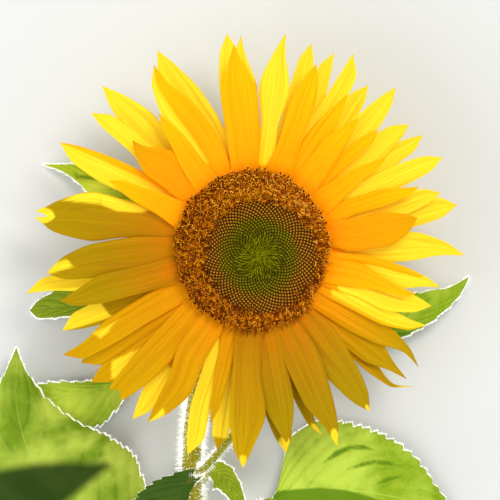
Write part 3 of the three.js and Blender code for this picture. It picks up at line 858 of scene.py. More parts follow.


def rays_of_bloom() -> dict[str, tuple[Ray, ...]]:
    """Lists the rays as the photograph shows them.

    Returns:
        Every ray, by the node that holds it.
    """
    gold, faint_tip_shade, light_shade, tip_shade, half_shade, shaded = (
        Tint.GOLD, Tint.AMBER, Tint.MELLOW, Tint.WANING, Tint.DUSKY, Tint.SHADED
    )
    # lit, far, end and top are patches of painted sunlight, from a share of the run out to the tip.
    lit, far, end, top = (Patch(0.1),), (Patch(0.5),), (Patch(0.9),), (Patch(0.94),)
    return {
        "ray_01": (Ray(358.4, 127.8, 2.4, gold, (10, 13, 7.6), (6.5, 4, 0.2), lit),),
        "ray_02": (Ray(10.7, 101, 0, faint_tip_shade, (7, 6.9, 4), (13, 13, 8.2)),),
        "ray_03": (
            Ray(12.2, 126.2, 3.2, gold, (7, 8, 7), (8, 7.5, 5.6), lit),
            Ray(16.6, 118.3, 2.6, gold, (7, 7, 5.4), (7, 7, 4.5), lit),
        ),
        "ray_04": (Ray(20.5, 107, 0.9, gold, (7.9, 6.9, 2.6), (2, 3.4, 2.8), slide=2),),
        "ray_05": (Ray(25.7, 127, 2, gold, (8, 8, 6), (6, 5.3, 4.5), lit),),
        "ray_06": (
            Ray(33.7, 123.5, 3.4, gold, (6, 6.5, 3.9), (6, 6, 5.2), lit),
            Ray(38.5, 120.5, 2.8, gold, (7, 8.5, 6.4), (6, 6, 4.1), lit),
        ),
        "ray_07": (Ray(34.4, 98, 0, gold, (6.5, 5.2, 2), (6, 3.4, 2.5)),),
        "ray_08": (Ray(43.4, 104, 1, gold, (7, 5.3, 3.4), (3, 3.2, 3.3), slide=1),),
        "ray_09": (
            Ray(48.4, 130, 2, gold, (6, 6, 3.4), (8, 9, 6), lit),
            Ray(54.7, 120.5, 2.8, gold, (6, 7, 5.5), (6, 6, 4.4), lit),
        ),
        "ray_10": (Ray(51, 101, 0, gold, (8, 7.3, 3.5), (7, 4.7, 2.7)),),
        "ray_11": (Ray(58.3, 109, 0.8, gold, (8.5, 6.5, 2.7), (7, 4.6, 2.3)),),
        "ray_12": (Ray(62.7, 132, 2, gold, (6, 3.3, 1), (7, 9.5, 8.3), lit),),
        "ray_13": (
            Ray(67.3, 127.7, 3.4, gold, (5, 6, 5.3), (5, 5.5, 2.9), lit),
            Ray(73.9, 128.5, 2.8, gold, (5, 5, 4.5), (6, 6, 4.6), lit),
        ),
        "ray_14": (Ray(70.9, 117.5, 0, gold, (6, 7, 3.9), (7, 7.9, 4.6)),),
        "ray_15": (Ray(81.1, 130.8, 1.2, gold, (6.1, 10.8, 5.2), (3.8, 7.2, 1.7), (Patch(0.03),)),),
        "ray_16": (
            Ray(93, 128.3, 3, gold, (5, 5, 4), (7, 8, 2.3), lit),
            Ray(96.6, 130.3, 3.4, gold, (7.8, 8.1, 5.8), (5, 5, 5), lit),
        ),
        "ray_17": (Ray(95.1, 122.5, 0, gold, (9, 10.3, 4.8), (11.2, 11.5, 4.4)),),
        "ray_18": (Ray(115.4, 132, 2.4, gold, (0, 5, 4.8), (16, 13.1, 6), lit, -8),),
        "ray_19": (Ray(118, 125, 1, gold, (6.4, 10, 7.3), (13.8, 10, 2), (Patch(0.12, 2, 0.3, 2),), -4),),
        "ray_20": (Ray(124.6, 98.5, 0.3, gold, (7, 4.5, 2.6), (6, 5.2, 2.4)),),
        "ray_21": (Ray(132.5, 133, 3.2, gold, (8, 8, 4.9), (9, 10.9, 5.7), lit),),
        "ray_22": (Ray(139.7, 126.4, 2.4, gold, (6.5, 2.6, 2.4), (8, 8, 7.1), lit),),
        "ray_23": (Ray(137.7, 97, 0.7, faint_tip_shade, (8.2, 9.4, 5.2), (13.7, 10.1, 2.1)),),
        "ray_24": (Ray(150.9, 131.9, 2.6, gold, (7, 9, 6.8), (9, 7.4, 3.9), (Patch(0.1, 2, -0.5, 2),)),),
        "ray_25": (Ray(154.4, 95, 0, gold, (5.5, 4.5, 2.1), (7, 5, 3.4)),),
        "ray_26": (
            Ray(170.8, 132.4, 2, shaded, (4.8, 10.6, 8.6), (16, 18.6, 10.3), end, -3, 0, 0.1, 2.4,
                (((-114.2, 29.2), (-99.2, 27.8), (-91.2, 27.1), (-89.4, 34.3), (-104.4, 33.7)),
                 ((-91.2, 34.3), (-91.2, 27.1), (-81.2, 22.9), (-66.6, 22.3), (-60.6, 23.2), (-80.4, 33.1)))),
        ),
        "ray_27": (
            Ray(186.6, 124, 1.2, shaded, (6, 6, 5), (15.4, 14.2, 8.6), (), -5,
                sunlit_spots=(((-111.7, -5.9), (-128, -12), (-123, -15.2), (-106.8, -10.5)),)),
        ),
        "ray_28": (Ray(191, 138.3, 3, shaded, (5, 5, 1.2), (7, 8, 7.3), far),),
        "ray_29": (Ray(195.2, 119.5, 0.3, shaded, (8, 7.8, 5.5), (7.9, 8.8, 3.7)),),
        "ray_30": (
            Ray(203.2, 124, 3, shaded, (6, 6, 3.6), (8, 8, 7.1),
                sunlit_spots=(((-108.2, -32.9), (-117, -50.6), (-103.2, -46.4), (-84.7, -40.5), (-91.2, -32)),)),
        ),
        "ray_31": (
            Ray(209.2, 130.4, 2, light_shade, (8, 9, 8.5), (7, 5.5, 0.4),
                sunlit_spots=(((-95.7, -50.9), (-91.2, -53), (-87.2, -50), (-82.2, -43.5), (-87.2, -46.1)),)),
            Ray(213.6, 123.5, 3, light_shade, (8, 8, 7.9), (7, 6, 5)),
        ),
        "ray_32": (
            Ray(219.6, 125.6, 3.4, light_shade, (9, 10, 8), (7, 6, 3.8),
                sunlit_spots=(((-84.6, -67.1), (-84.6, -77.9), (-80.4, -77.9), (-67.2, -61.7), (-67.2, -59.9)),)),
        ),
        "ray_33": (Ray(226.8, 120, 1, light_shade, (11, 10.4, 8), (8, 8, 7), notch=0.05, blunt=5.5),),
        "ray_34": (Ray(234.9, 125, 3, light_shade, (7, 7, 6), (7, 7.5, 3.7), far),),
        "ray_35": (Ray(239, 121.3, 0, light_shade, (10, 13, 7.5), (8, 3.4, 2), (Patch(0.84, 2, 0, 2),), 2),),
        "ray_36": (Ray(252.6, 129.4, 2.4, gold, (5, 4.6, 6.4), (7, 7.1, 4), lit),),
        "ray_37": (Ray(256.6, 107.5, 1.6, light_shade, (5, 4, 2.5), (5, 4, 2)),),
        "ray_38": (Ray(260.2, 122.5, 3, half_shade, (5, 5, 5.2), (6, 6, 5), (Patch(0.3, 0.9),)),),
        "ray_39": (Ray(267.7, 131.4, 0, half_shade, (8, 12, 5.4), (8.6, 9.5, 6.4), (Patch(0.91),)),),
        "ray_40": (Ray(280.2, 118, 0.6, shaded, (8.3, 8.7, 5.4), (9, 9.6, 5)),),
        "ray_41": (Ray(279.5, 124, 2.5, shaded, (7, 7, 5.3), (8, 8.7, 5.3), (Patch(0.87),)),),
        "ray_42": (Ray(290.6, 119.3, 2, shaded, (3, 3, -1), (8, 7.9, 5.9), (Patch(0.88),)),),
        "ray_43": (Ray(293.4, 129, 0.5, shaded, (12, 9.8, 5.6), (9, 8, 2), (Patch(0.87),)),),
        "ray_44": (Ray(306, 120.3, 1, shaded, (12, 10, 6.2), (12, 8.6, 5), top),),
        "ray_45": (
            Ray(319.7, 127.9, 3.8, tip_shade, (3, -2.2, -7), (9, 11.3, 9.4), end),
            Ray(320, 121.3, 3.2, tip_shade, (9, 8, 2.4), (9, 8.6, 2.6)),
        ),
        "ray_46": (Ray(324.8, 122.4, 2.8, tip_shade, (12, 10, 6.2), (7, 3.5, -2)),),
        "ray_47": (Ray(336.4, 114.4, 2, gold, (3, 1, -0.6), (9, 10, 6.9), (Patch(0.08, 2, -0.72, 2),)),),
        "ray_48": (
            Ray(342.4, 113, 1.4, gold, (6, 4, 2.7), (8, 10.4, 6.9), lit),
            Ray(348.6, 115.2, 1.2, gold, (10, 8.3, 4.6), (6, 6, 1.7), (Patch(0.3, 2, -2, 0.35), Patch(0.8))),
        ),
        "ray_49": (Ray(344.7, 102, 0.6, gold, (9, 4.5, 1.2), (5.8, 3.8, 3.6)),),
    }


@dataclass
class Rays:
    """The ring of ray florets that shows as the flower's yellow petals."""

    seat: Seat
    foot_half: float = 8.0
    least_half: float = 0.12
    tuck: float = 3.0  # how far each runs in under the disc's edge
    foot_rise: float = 1.8
    foot_run: float = 16.0
    thickness: float = 0.7
    tier_top: float = -1.2
    tier_step: float = 1.35
    front_slope: float = 12.0
    slope_step: float = 4.0
    droop: float = 6.0
    droop_reach: float = 80.0
    channel: float = 0.036
    channel_most: float = 1.7
    pleat: float = 0.42  # height of the long folds
    prong: float = 0.8  # where across a notched tip its two prongs begin to narrow
    spot_scale: float = 80.0  # millimetres of a spot's depth that count as the whole run
    stations: tuple[float, ...] = (0, 0.3, 0.6, 0.85, 1)
    rows: int = 43
    columns: int = 23
    seed: int = 11

    def height(self, tier: float, out: Array) -> Array:
        """Height of the middle of a tier's rays over the rim plane, at distances out from the head's wall."""
        slope = math.tan(math.radians(self.front_slope - self.slope_step * tier))
        return self.tier_top - self.tier_step * tier + slope * out - self.droop * (out / self.droop_reach) ** 2

    def blade(self, ray: Ray, rng: Rng) -> Shape:
        """Builds one ray.

        Args:
            ray: the ray's sizes.
            rng: source of its small irregularities.

        Returns:
            The ray's closed thin body over the rim plane.
        """
        twist, ripple, phase = rng.uniform(-0.09, 0.09), rng.uniform(0.2, 0.5), rng.uniform(0, TURN)
        curl, pleat = ray.curl + rng.uniform(-1.5, 2.0), self.pleat * rng.uniform(0.7, 1.25)
        grain_seed = rng.uniform(0, 500)
        foot = RIM_RADIUS + GAP
        length = ray.reach - foot
        u = (1 - (1 + self.tuck / length) * (1 - np.linspace(0, 1, self.rows)) ** 1.2)[:, None]
        v = np.linspace(-1, 1, self.columns)[None, :]
        left = flowing(self.stations, (self.foot_half + ray.slide, *ray.left, ray.blunt), u) + self.least_half
        right = flowing(self.stations, (self.foot_half - ray.slide, *ray.right, ray.blunt), u) + self.least_half
        half, middle = (left + right) / 2, (left - right) / 2
        widest = float(half.max())
        fade = half / widest
        prong = np.clip(1 - np.abs(v) / self.prong, 0, 1) ** 0.8 + 1.5 * np.clip(np.abs(v) - self.prong, 0, 1)
        out = length * (u - ray.notch * prong * np.clip((u - 0.8) / 0.2, 0, 1))
        lift = np.minimum(self.channel * out, self.channel_most) * (v * v - 0.4) * fade
        lift = lift + pleat * fade * np.cos(3 * math.pi * v) * (0.35 + 0.65 * smooth_step(u / 0.25))
        lift = lift + ripple * fade * np.sin(u * 9 + phase + v) * v * v
        lift = lift + twist * v * half * smooth_step(u / 0.5)
        lift = lift + curl * np.clip((u - 0.55) / 0.45, 0, 1) ** 2
        lift = lift + self.foot_rise * (1 - smooth_step(out / self.foot_run))
        centre = self.height(ray.tier, out) + lift
        body = self.thickness / 2 * (0.25 + 0.75 * np.sqrt(np.clip(1 - v * v, 0, 1))) * (0.6 + 0.4 * fade)
        x, y = aimed(foot + out, middle + half * v, math.radians(ray.aim))
        flat = np.zeros_like(x)
        fields = {
            "run": flat + u,
            "across": flat + v,
            "sun": np.maximum(Patch.deepest(ray.sun, u, v), outlined(ray.sunlit_spots, x, y) / self.spot_scale),
            "grain": np.stack([flat + out, flat + widest * v, flat + grain_seed], axis=-1),
        }
        return shell(*(np.stack([x, y, centre + side * body], axis=-1) for side in (1, -1)), fields)

    def build(self) -> None:
        """Makes a piece for every node of rays."""
        rng = np.random.default_rng(self.seed)
        skins = {tint: tint.value.material() for tint in Tint}
        for node, rays in rays_of_bloom().items():
            shapes = []
            for number, ray in enumerate(rays):
                shape = self.blade(ray, rng)
                shape.shades = np.full(len(shape.quads), number)
                shapes.append(shape)
            whole = self.seat.on_head(Shape.merged(shapes))
            whole.piece(node.replace("ray_", "petal_"), [skins[ray.tint] for ray in rays], "petal", node)


# ---------------------------------------------------------------- disc


class Stage(Enum):
    """How far a disc floret has come."""

    TIGHT = 0
    BUD = 1
    OPEN = 2


def away_from(centre: tuple[float, float], points: Array) -> Array:
    """How far points lie from a centre, seen from above."""
    return np.hypot(points[:, 0] - centre[0], points[:, 1] - centre[1])


@dataclass
class Florets:
    """Disc florets on the dome, with a row for each."""

    places: Array
    ways: Array  # the ways they point
    outward: Array  # the ways that lead away from the spiral's centre
    stages: Array
    turned: Array  # the ways that their own X points, at random
    loose: Array  # the ways they point, each a little off
    sizes: Array

    def picked(self, mask: Array) -> Florets:
        """Those that a mask picks."""
        return Florets(*(rows[mask] for rows in vars(self).values()))


@dataclass
class Disc:
    """The dome of disc florets: tight green buds, gold-tipped buds, and a ring of open florets."""

    seat: Seat
    crest_radius: float = 38.0
    crest_height: float = 8.5
    centre_height: float = 6.0
    edge_fall: float = 7.0
    edge_radius: float = 47.6  # where the dome ends; the rays' feet hide the rest of the solid one
    squeeze: float = 0.955  # its width from left to right as a share of that
    spiral_centre: tuple[float, float] = (3.96, -4.26)
    spiral_scale: float = 0.5385
    spiral_power: float = 0.58
    most_florets: int = 3400
    opened_centre: tuple[float, float] = (5.4, -4.7)
    opened_beyond: float = 33.0
    green_within: float = 17.0
    gold_beyond: float = 29.0
    bed_worn: tuple[float, float] = (15, 22)  # where the bed turns from green to olive and to brown
    bed_rings: int = 40
    bed_sides: int = 96
    seed: int = 5

    def height(self, radius: Array) -> Array:
        """Finds the height of the bare dome.

        Args:
            radius: distances from the middle of the head.

        Returns:
            The heights there.
        """
        swell = (self.crest_height - self.centre_height) * smooth_step(radius / self.crest_radius)
        fall = np.clip((radius - self.crest_radius) / (self.edge_radius - self.crest_radius), 0, 1)
        outer = self.crest_height - self.edge_fall * fall**2
        return np.where(radius < self.crest_radius, self.centre_height + swell, outer)

    def bed(self) -> Shape:
        """Builds the dome that the florets stand on.

        Returns:
            The dome, with a shade for each band of florets.
        """
        rng = np.random.default_rng(self.seed)
        angles = np.linspace(0, TURN, self.bed_sides + 1)[:-1]
        radii = np.concatenate([[0.05], np.linspace(2, self.edge_radius, self.bed_rings)])
        r = radii[:, None] + 0 * angles
        top = self.height(r) + rng.uniform(-0.25, 0.1, r.shape)
        z = np.concatenate([top, 0 * r + GAP])
        r = np.concatenate([r, r[::-1]])
        points = np.stack([r * np.cos(angles), r * np.sin(angles), z], axis=-1).reshape(-1, 3) * (self.squeeze, 1, 1)
        quads, caps = ring_faces(len(z), self.bed_sides, inward=True)
        away, turn = away_from(self.spiral_centre, points), np.arctan2(points[:, 1], points[:, 0])
        grain = np.stack([away, turn * away, points[:, 2]], axis=-1)
        fields = {"run": away / DISC_RADIUS, "across": turn / math.pi, "grain": grain}
        middles = points[quads].mean(axis=1)
        worn = away_from(self.spiral_centre, middles) + rng.normal(0, 1.2, len(middles))
        opened = away_from(self.opened_centre, middles) > self.opened_beyond
        shades = np.where(opened, 3, np.digitize(worn, self.bed_worn))
        return Shape(points, quads, caps, np.concatenate([shades, np.zeros(len(caps), int)]), fields)

    def spiral(self) -> tuple[Array, Array, Array]:
        """Lays the florets out on the spiral that a growing head follows.

        Returns:
            Their places, the ways they point, and the ways that lead away from the spiral's centre.
        """
        number = np.arange(1, self.most_florets)
        away, turn = self.spiral_scale * number**self.spiral_power, number * GOLDEN_ANGLE
        x = self.spiral_centre[0] + away * np.cos(turn)
        y = self.spiral_centre[1] + away * np.sin(turn)
        radius, bearing = np.hypot(x / self.squeeze, y), np.arctan2(y, x)
        ragged = 0.5 * np.sin(5 * bearing + 1) + 0.4 * np.sin(13 * bearing)
        kept = radius < self.edge_radius - 1.1 + ragged
        x, y, radius = x[kept], y[kept], radius[kept]
        places = np.stack([x, y, self.height(radius)], axis=-1)
        lean = 0.9 * smooth_step((radius - 37) / 10) + 0.08
        ways = np.stack([x / radius * lean, y / radius * lean, np.ones_like(x)], axis=-1)
        outward = (places - (*self.spiral_centre, 0)) * (1, 1, 0)
        return places, unit(ways), unit(outward)

    def florets(self, rng: Rng) -> Florets:
        """Sets out every floret.

        Args:
            rng: source of their irregularities.

        Returns:
            The florets.
        """
        places, ways, outward = self.spiral()
        inner = np.where(away_from(self.spiral_centre, places) < self.green_within, Stage.TIGHT.value, Stage.BUD.value)
        edge = self.opened_beyond + rng.normal(0, 1.5, len(places))
        stages = np.where(away_from(self.opened_centre, places) > edge, Stage.OPEN.value, inner)
        turned = unit(rng.normal(0, 1, places.shape))
        loose = unit(ways + rng.normal(0, 0.03, places.shape))
        return Florets(places, ways, outward, stages, turned, loose, rng.uniform(0.92, 1.08, len(places)))

    @staticmethod
    def upright(*rings: tuple[float, float], sides: int) -> Shape:
        """A straight round body that stands along +Z, from the height and radius of each of its rings."""
        heights, radii = np.array(rings).T
        return tube(np.outer(heights, UP), radii, sides)

    @staticmethod
    def tight_bud(lie: float) -> Shape:
        """Builds a green bud that leans in towards the spiral's centre.

        Args:
            lie: 0 for one that stands up, 1 for one that lies over its neighbours.

        Returns:
            The bud, with its foot at the origin and the spiral's centre towards -X.
        """
        lying = [[0, 0, -0.6], [0, 0, 0.7], [-0.4, 0, 1.5], [-1.1, 0, 2.1], [-2.0, 0.1, 2.4], [-2.9, 0.1, 2.2]]
        stood = np.array([[0, 0, -0.6], [0, 0, 0.6], [0, 0, 1.2], [0, 0, 1.7], [0, 0, 2.1], [-0.1, 0, 2.3]])
        radii = np.array([0.5, 0.58, 0.54, 0.46, 0.32, 0.07])
        return tube(stood + (np.array(lying) - stood) * lie, radii, 6)

    def corolla(self) -> Shape:
        """Builds the tube of an open floret with its five lobes bent back.

        Returns:
            The corolla.
        """
        parts = [self.upright((-0.6, 0.45), (1.2, 0.5), (2.3, 0.62), sides=6)]
        lobe = np.array([[0.45, 0, 2.1], [0.88, 0, 2.95], [1.3, 0, 2.8]])
        horn = tube(lobe, np.array([0.3, 0.34, 0.04]), 4, 0.4)
        for number in range(5):
            cos, sin = math.cos(number / 5 * TURN), math.sin(number / 5 * TURN)
            spun = np.array([[cos, sin, 0], [-sin, cos, 0], [0, 0, 1]])
            parts.append(Shape(horn.points @ spun, horn.quads, horn.tris, fields=horn.fields))
        return Shape.merged(parts)

    @staticmethod
    def curls(opening: float, length: float) -> Shape:
        """Builds the two arms of an open floret's style, rolled outwards.

        Args:
            opening: radius of the roll.
            length: how far round it goes, in turns.

        Returns:
            Both arms, joined at the style.
        """
        arms = []
        run = np.linspace(0, 1, 9)
        angle, shrink = np.linspace(0, length * TURN, 9), 1 - 0.35 * run
        radii = np.concatenate([[0.14], np.linspace(0.23, 0.14, 8), [0.05]])
        for side in (1, -1):
            x = side * opening * (1 - np.cos(angle) * shrink)
            z = 3.7 + opening * np.sin(angle) * shrink + 0.3
            path = np.concatenate([[[0, 0, 3.2]], np.stack([x, side * 0.15 * run, z], axis=-1)])
            arms.append(tube(path, radii, 4))
        return Shape.merged(arms)

    def add(self, name: str, shapes: list[Shape], tissue: SmallTissue) -> None:
        """Joins copies of one kind into a piece on the dome.

        Args:
            name: the piece's name.
            shapes: the copies.
            tissue: what they are made of.
        """
        for shape in shapes:
            shape.fields = {}
        self.seat.on_head(Shape.merged(shapes)).piece(name, tissue.materials(), "disc")

    def tight_buds(self, florets: Florets, rng: Rng) -> None:
        """Makes the green buds in the middle, which lie over more the nearer the centre they are.

        Args:
            florets: the florets that are still tight buds.
            rng: source of their irregularities.
        """
        tissue = SmallTissue("tight_bud_tissue", ("#686a00", "#787804", "#565600", "#888608"), 0.6)
        share = away_from(self.spiral_centre, florets.places) / self.green_within
        shapes = []
        for low, high, lie in ((0, 0.74, 1.0), (0.74, 0.88, 0.65), (0.88, 1.01, 0.3)):
            some = florets.picked((share >= low) & (share < high))
            count = len(some.places)
            axes = axes_along(some.loose, some.outward + rng.normal(0, 0.12, (count, 3)), some.sizes)
            shades = rng.choice(4, count, p=(0.35, 0.35, 0.15, 0.15))
            shapes.append(self.tight_bud(lie).scattered(some.places, axes, shades))
        self.add("tight_buds", shapes, tissue)

    def gold_buds(self, florets: Florets, rng: Rng) -> None:
        """Makes the dotted ring of buds: dark bodies with olive tips that turn gold outwards.

        Args:
            florets: the florets that are about to open.
            rng: source of their irregularities.
        """
        away = away_from(self.spiral_centre, florets.places)
        golden = smooth_step((away - self.green_within) / (self.gold_beyond - self.green_within))
        axes = axes_along(florets.loose, florets.turned, florets.sizes)
        hue = golden + rng.normal(0, 0.09, len(golden))
        body = self.upright((-0.6, 0.6), (0.7, 0.78), (1.5, 0.62), sides=7)
        tissue = SmallTissue("bud_body_tissue", ("#6a6200", "#746000", "#805604", "#8c4e02"), 0.6)
        self.add("bud_bodies", [body.scattered(florets.places, axes, np.clip((hue * 4).astype(int), 0, 3))], tissue)
        cap = self.upright((1.4, 0.5), (1.72, 0.5), (2.0, 0.4), (2.2, 0.2), (2.25, 0.03), sides=7)
        tissue = SmallTissue("bud_tip_tissue", ("#868208", "#90880e", "#9e8c18", "#b09024", "#be922c"), 0.6)
        self.add("bud_tips", [cap.scattered(florets.places, axes, np.clip((hue * 4.6).astype(int), 0, 4))], tissue)

    def open_florets(self, florets: Florets, rng: Rng) -> None:
        """Makes the ring of open florets: corollas, dark anther tubes and the rolled arms of styles.

        The ring has three bands. The inner one has only just opened and is dark, the middle one is
        orange with pollen, and the outer one is a tangle of rolled styles over withered corollas.

        Args:
            florets: the florets that are open.
            rng: source of their irregularities.
        """
        at, count = florets.places, len(florets.places)
        way = unit(florets.ways + rng.normal(0, 0.16, (count, 3)))
        past = away_from(self.opened_centre, at) - self.opened_beyond + rng.normal(0, 0.8, count)
        room = DISC_RADIUS - np.hypot(at[:, 0], at[:, 1]) + past
        age = np.clip(past / np.maximum(room, 3), 0, 1)
        band = np.where(past < 1.6, 0, np.where(age < 0.52, 1, 2))
        axes = axes_along(way, florets.turned, rng.uniform(0.85, 1.2, count))
        # Towards the upper right, corollas and style arms are dealt lighter shades: painted light from that side.
        sunny = (0.75 * at[:, 0] + 0.66 * at[:, 1]) / self.edge_radius
        tone = rng.uniform(0, 1, count) + np.array([-0.3, 0.16, -0.02])[band] + 0.24 * sunny
        shades = np.digitize(tone, (0.12, 0.3, 0.5, 0.75, 0.95))
        tones = ("#8a4404", "#a85a04", "#c87008", "#e08a08", "#f29a14", "#f8ac28")
        tissue = SmallTissue("corolla_tissue", tones, 0.55)
        self.add("open_corollas", [self.corolla().scattered(at, axes, shades)], tissue)
        odds = np.array([[0.4, 0.4, 0.2, 0], [0.14, 0.06, 0.22, 0.58], [0.36, 0.28, 0.18, 0.18]])
        shades = (rng.uniform(0, 1, (count, 1)) > np.cumsum(odds, axis=1)[band]).sum(axis=1).clip(0, 3)
        path = np.array([[0, 0, 1.9], [0, 0, 3.3], [0.05, 0, 3.75], [0.08, 0, 3.95]])
        anther = tube(path, np.array([0.4, 0.43, 0.34, 0.08]), 6)
        tissue = SmallTissue("anther_tissue", ("#4c1600", "#380c00", "#702e02", "#d07e10"), 0.5)
        self.add("anther_tubes", [anther.scattered(at, axes, shades)], tissue)
        shapes = []
        kinds = rng.integers(0, 3, count)
        with_arms = rng.uniform(0, 1, count) < np.array([0.15, 0.55, 0.95])[band]
        for kind, (opening, length) in enumerate(((0.52, 0.72), (0.7, 0.6), (0.46, 0.9))):
            chosen = (kinds == kind) & with_arms
            shades = np.digitize(rng.uniform(0, 1, chosen.sum()) + 0.35 * sunny[chosen], (0.2, 0.5, 0.85))
            shapes.append(self.curls(opening, length).scattered(at[chosen], axes[chosen], shades))
        tissue = SmallTissue("style_tissue", ("#bc7008", "#d88e14", "#eca620", "#fabe44"), 0.45)
        self.add("style_arms", shapes, tissue)

    def chaff(self, rng: Rng) -> None:
        """Makes the dry tips of scales that stand out from under the outermost florets.

        The long ones towards the stem are dark strands of painted shade in the clefts between the rays.

        Args:
            rng: source of their irregularities.
        """
        path = np.array([[0, 0, 0], [0, 0, 2.0], [0.1, 0, 4.0], [0.35, 0, 5.6]])
        scale = tube(path, np.array([0.5, 0.46, 0.3, 0.04]), 5, 0.5)
        tissue = SmallTissue("chaff_tissue", ("#a45808", "#7c3c04", "#b46a0c", "#5c2804"), 0.7)
        shapes = []
        # The first row is dry tips all round the disc; the second is long dark strands of painted shade in the clefts
        # between the rays towards the stem.
        for count, low, high, least, most, rise, tones in (
            (80, 0, 360, 0.4, 0.9, 2.6, 4), (48, 240, 322, 0.7, 1.5, 1.2, 3)
        ):
            turn = np.radians(rng.uniform(low, high, count))
            out = np.stack([np.cos(turn), np.sin(turn), np.zeros(count)], axis=-1)
            feet = out * rng.uniform(44.6, 46.4, (count, 1)) * [self.squeeze, 1, 1] + [0, 0, rise]
            way = unit(out + rng.normal(0, 0.22 / least, feet.shape) * [0.5, 0.5, 0.1] + [0, 0, 0.1])
            axes = axes_along(way, np.tile(UP, (count, 1)), rng.uniform(least, most, count))
            shapes.append(scale.scattered(feet, axes, rng.integers(0, tones, count)))
        self.add("chaff_tips", shapes, tissue)

    def build(self) -> None:
        """Makes the dome and every kind of floret on it."""
        rng = np.random.default_rng(self.seed)
        shades = (
            ("green", "#625600", "#4c4400"), ("olive", "#705c00", "#584400"), ("brown", "#7c4602", "#5e3000"),
            ("chaff", "#b0620a", "#803c02"),
        )
        beds = [FibrousSkin(f"floret_bed_{name}", light, deep, 1.2).material() for name, light, deep in shades]
        self.seat.on_head(self.bed()).piece("disc_bed", beds, "disc", "disc")
        florets = self.florets(rng)
        self.tight_buds(florets.picked(florets.stages == Stage.TIGHT.value), rng)
        self.gold_buds(florets.picked(florets.stages == Stage.BUD.value), rng)
        self.open_florets(florets.picked(florets.stages == Stage.OPEN.value), rng)
        self.chaff(rng)


# ---------------------------------------------------------------- cup and bracts


@dataclass
class Cup:
    """The receptacle behind the bloom with its two whorls of green bracts."""

    seat: Seat
    per_whorl: int = 13
    root_radius: float = 41.0
    root_step: float = 2.0
    reach: float = 78.0
    width: float = 15.0
    thickness: float = 1.0
    top: float = -11.0
    whorl_step: float = 3.0
    droop: float = 6.0
    channel: float = 1.2
    sides: int = 96
    wall_height: float = -8.4  # where its wall stands out furthest, over its ribbed back
    rib_share: float = 0.012
    rows: int = 26
    columns: int = 11
    seed: int = 23

    def bowl(self) -> Shape:
        """Builds the fleshy cup itself, drawn in to the neck.

        Returns:
            The cup, over the rim plane.
        """
        profile = np.array(
            [[0.05, 0], [43, 0], [43, -7.2], [RIM_RADIUS, self.wall_height], [44, -12.5], [33, -17.5], [20, -20.5]]
            + [[12, -23.5], [NECK_RADIUS, -RECEPTACLE_DEPTH], [0.05, -RECEPTACLE_DEPTH]]
        )
        steps = np.concatenate([np.linspace(a, b, 6)[:-1] for a, b in zip(profile, profile[1:])] + [profile[-1:]])
        angles = np.linspace(0, TURN, self.sides + 1)[:-1]
        r, z = steps[:, :1], steps[:, 1:]
        ribs = 1 + self.rib_share * np.sin(self.per_whorl * angles)[None] * (z < self.wall_height)
        points = np.stack([r * ribs * np.cos(angles), r * ribs * np.sin(angles), z + 0 * angles], axis=-1)
        count = len(steps)
        around = np.tile(angles * 30, count)
        grain = np.stack([np.repeat(np.arange(count) * 1.5, self.sides), around, 0 * around], axis=-1)
        run = np.repeat(np.linspace(0, 1, count), self.sides)
        fields = {"run": run, "across": around / 100, "grain": grain}
        return Shape(points.reshape(-1, 3), *ring_faces(count, self.sides, inward=True), fields=fields)

    def bract(self, whorl: int, turn: int, rng: Rng) -> Shape:
        """Builds one pointed bract, rooted in the back of the cup.

        Args:
            whorl: number of its whorl, from the front.
            turn: its number in the whorl.
            rng: source of its small irregularities.

        Returns:
            The bract's closed thin body over the rim plane.
        """
        u = np.linspace(0, 1, self.rows)[:, None]
        v = np.linspace(-1, 1, self.columns)[None, :]
        half = self.width / 2 * np.maximum((1 - u**1.9) ** 1.15, 0.02) * (1 + 0.12 * np.sin(math.pi * u))
        root = self.root_radius - self.root_step * whorl
        out = root + u * (self.reach - 2 * self.whorl_step * whorl - root)
        height = self.top - self.whorl_step * whorl - self.droop * np.sin(u * math.pi * 0.6)
        lift = self.channel * v * v * u + rng.uniform(-1, 2) * u**3
        lift = lift + 0.25 * np.cos(4 * math.pi * v) * (half / self.width)
        across = half * v + rng.uniform(-2, 2) * u * u
        body = self.thickness / 2 * (0.3 + 0.7 * np.sqrt(np.clip(1 - v * v, 0, 1)))
        x, y = aimed(out, across, (turn + whorl / 2) / self.per_whorl * TURN)
        flat = np.zeros_like(x)
        fields = {
            "run": flat + u,
            "across": flat + v,
            "grain": np.stack([flat + out, flat + across, flat + 7.0 * turn + whorl], axis=-1),
        }
        return shell(*(np.stack([x, y, height + lift + side * body], axis=-1) for side in (1, -1)), fields)

    def build(self) -> None:
        """Makes the cup and its bracts."""
        rng = np.random.default_rng(self.seed)
        flesh = FibrousSkin("receptacle_skin", "#8fa046", "#66782a", 2.0)
        self.seat.on_head(self.bowl()).piece("receptacle_cup", [flesh.material()], "bract", "receptacle")
        face = FibrousSkin("bract_skin", "#7f9c34", "#5a7a22", 1.4)
        back = FibrousSkin("bract_back_skin", "#93a85a", "#6f8a3a", 1.4)
        bracts = [self.bract(whorl, turn, rng) for whorl in (0, 1) for turn in range(self.per_whorl)]
        whole = self.seat.on_head(Shape.merged(bracts))
        whole.piece("bracts", [face.material(), back.material()], "bract")


# ---------------------------------------------------------------- stem


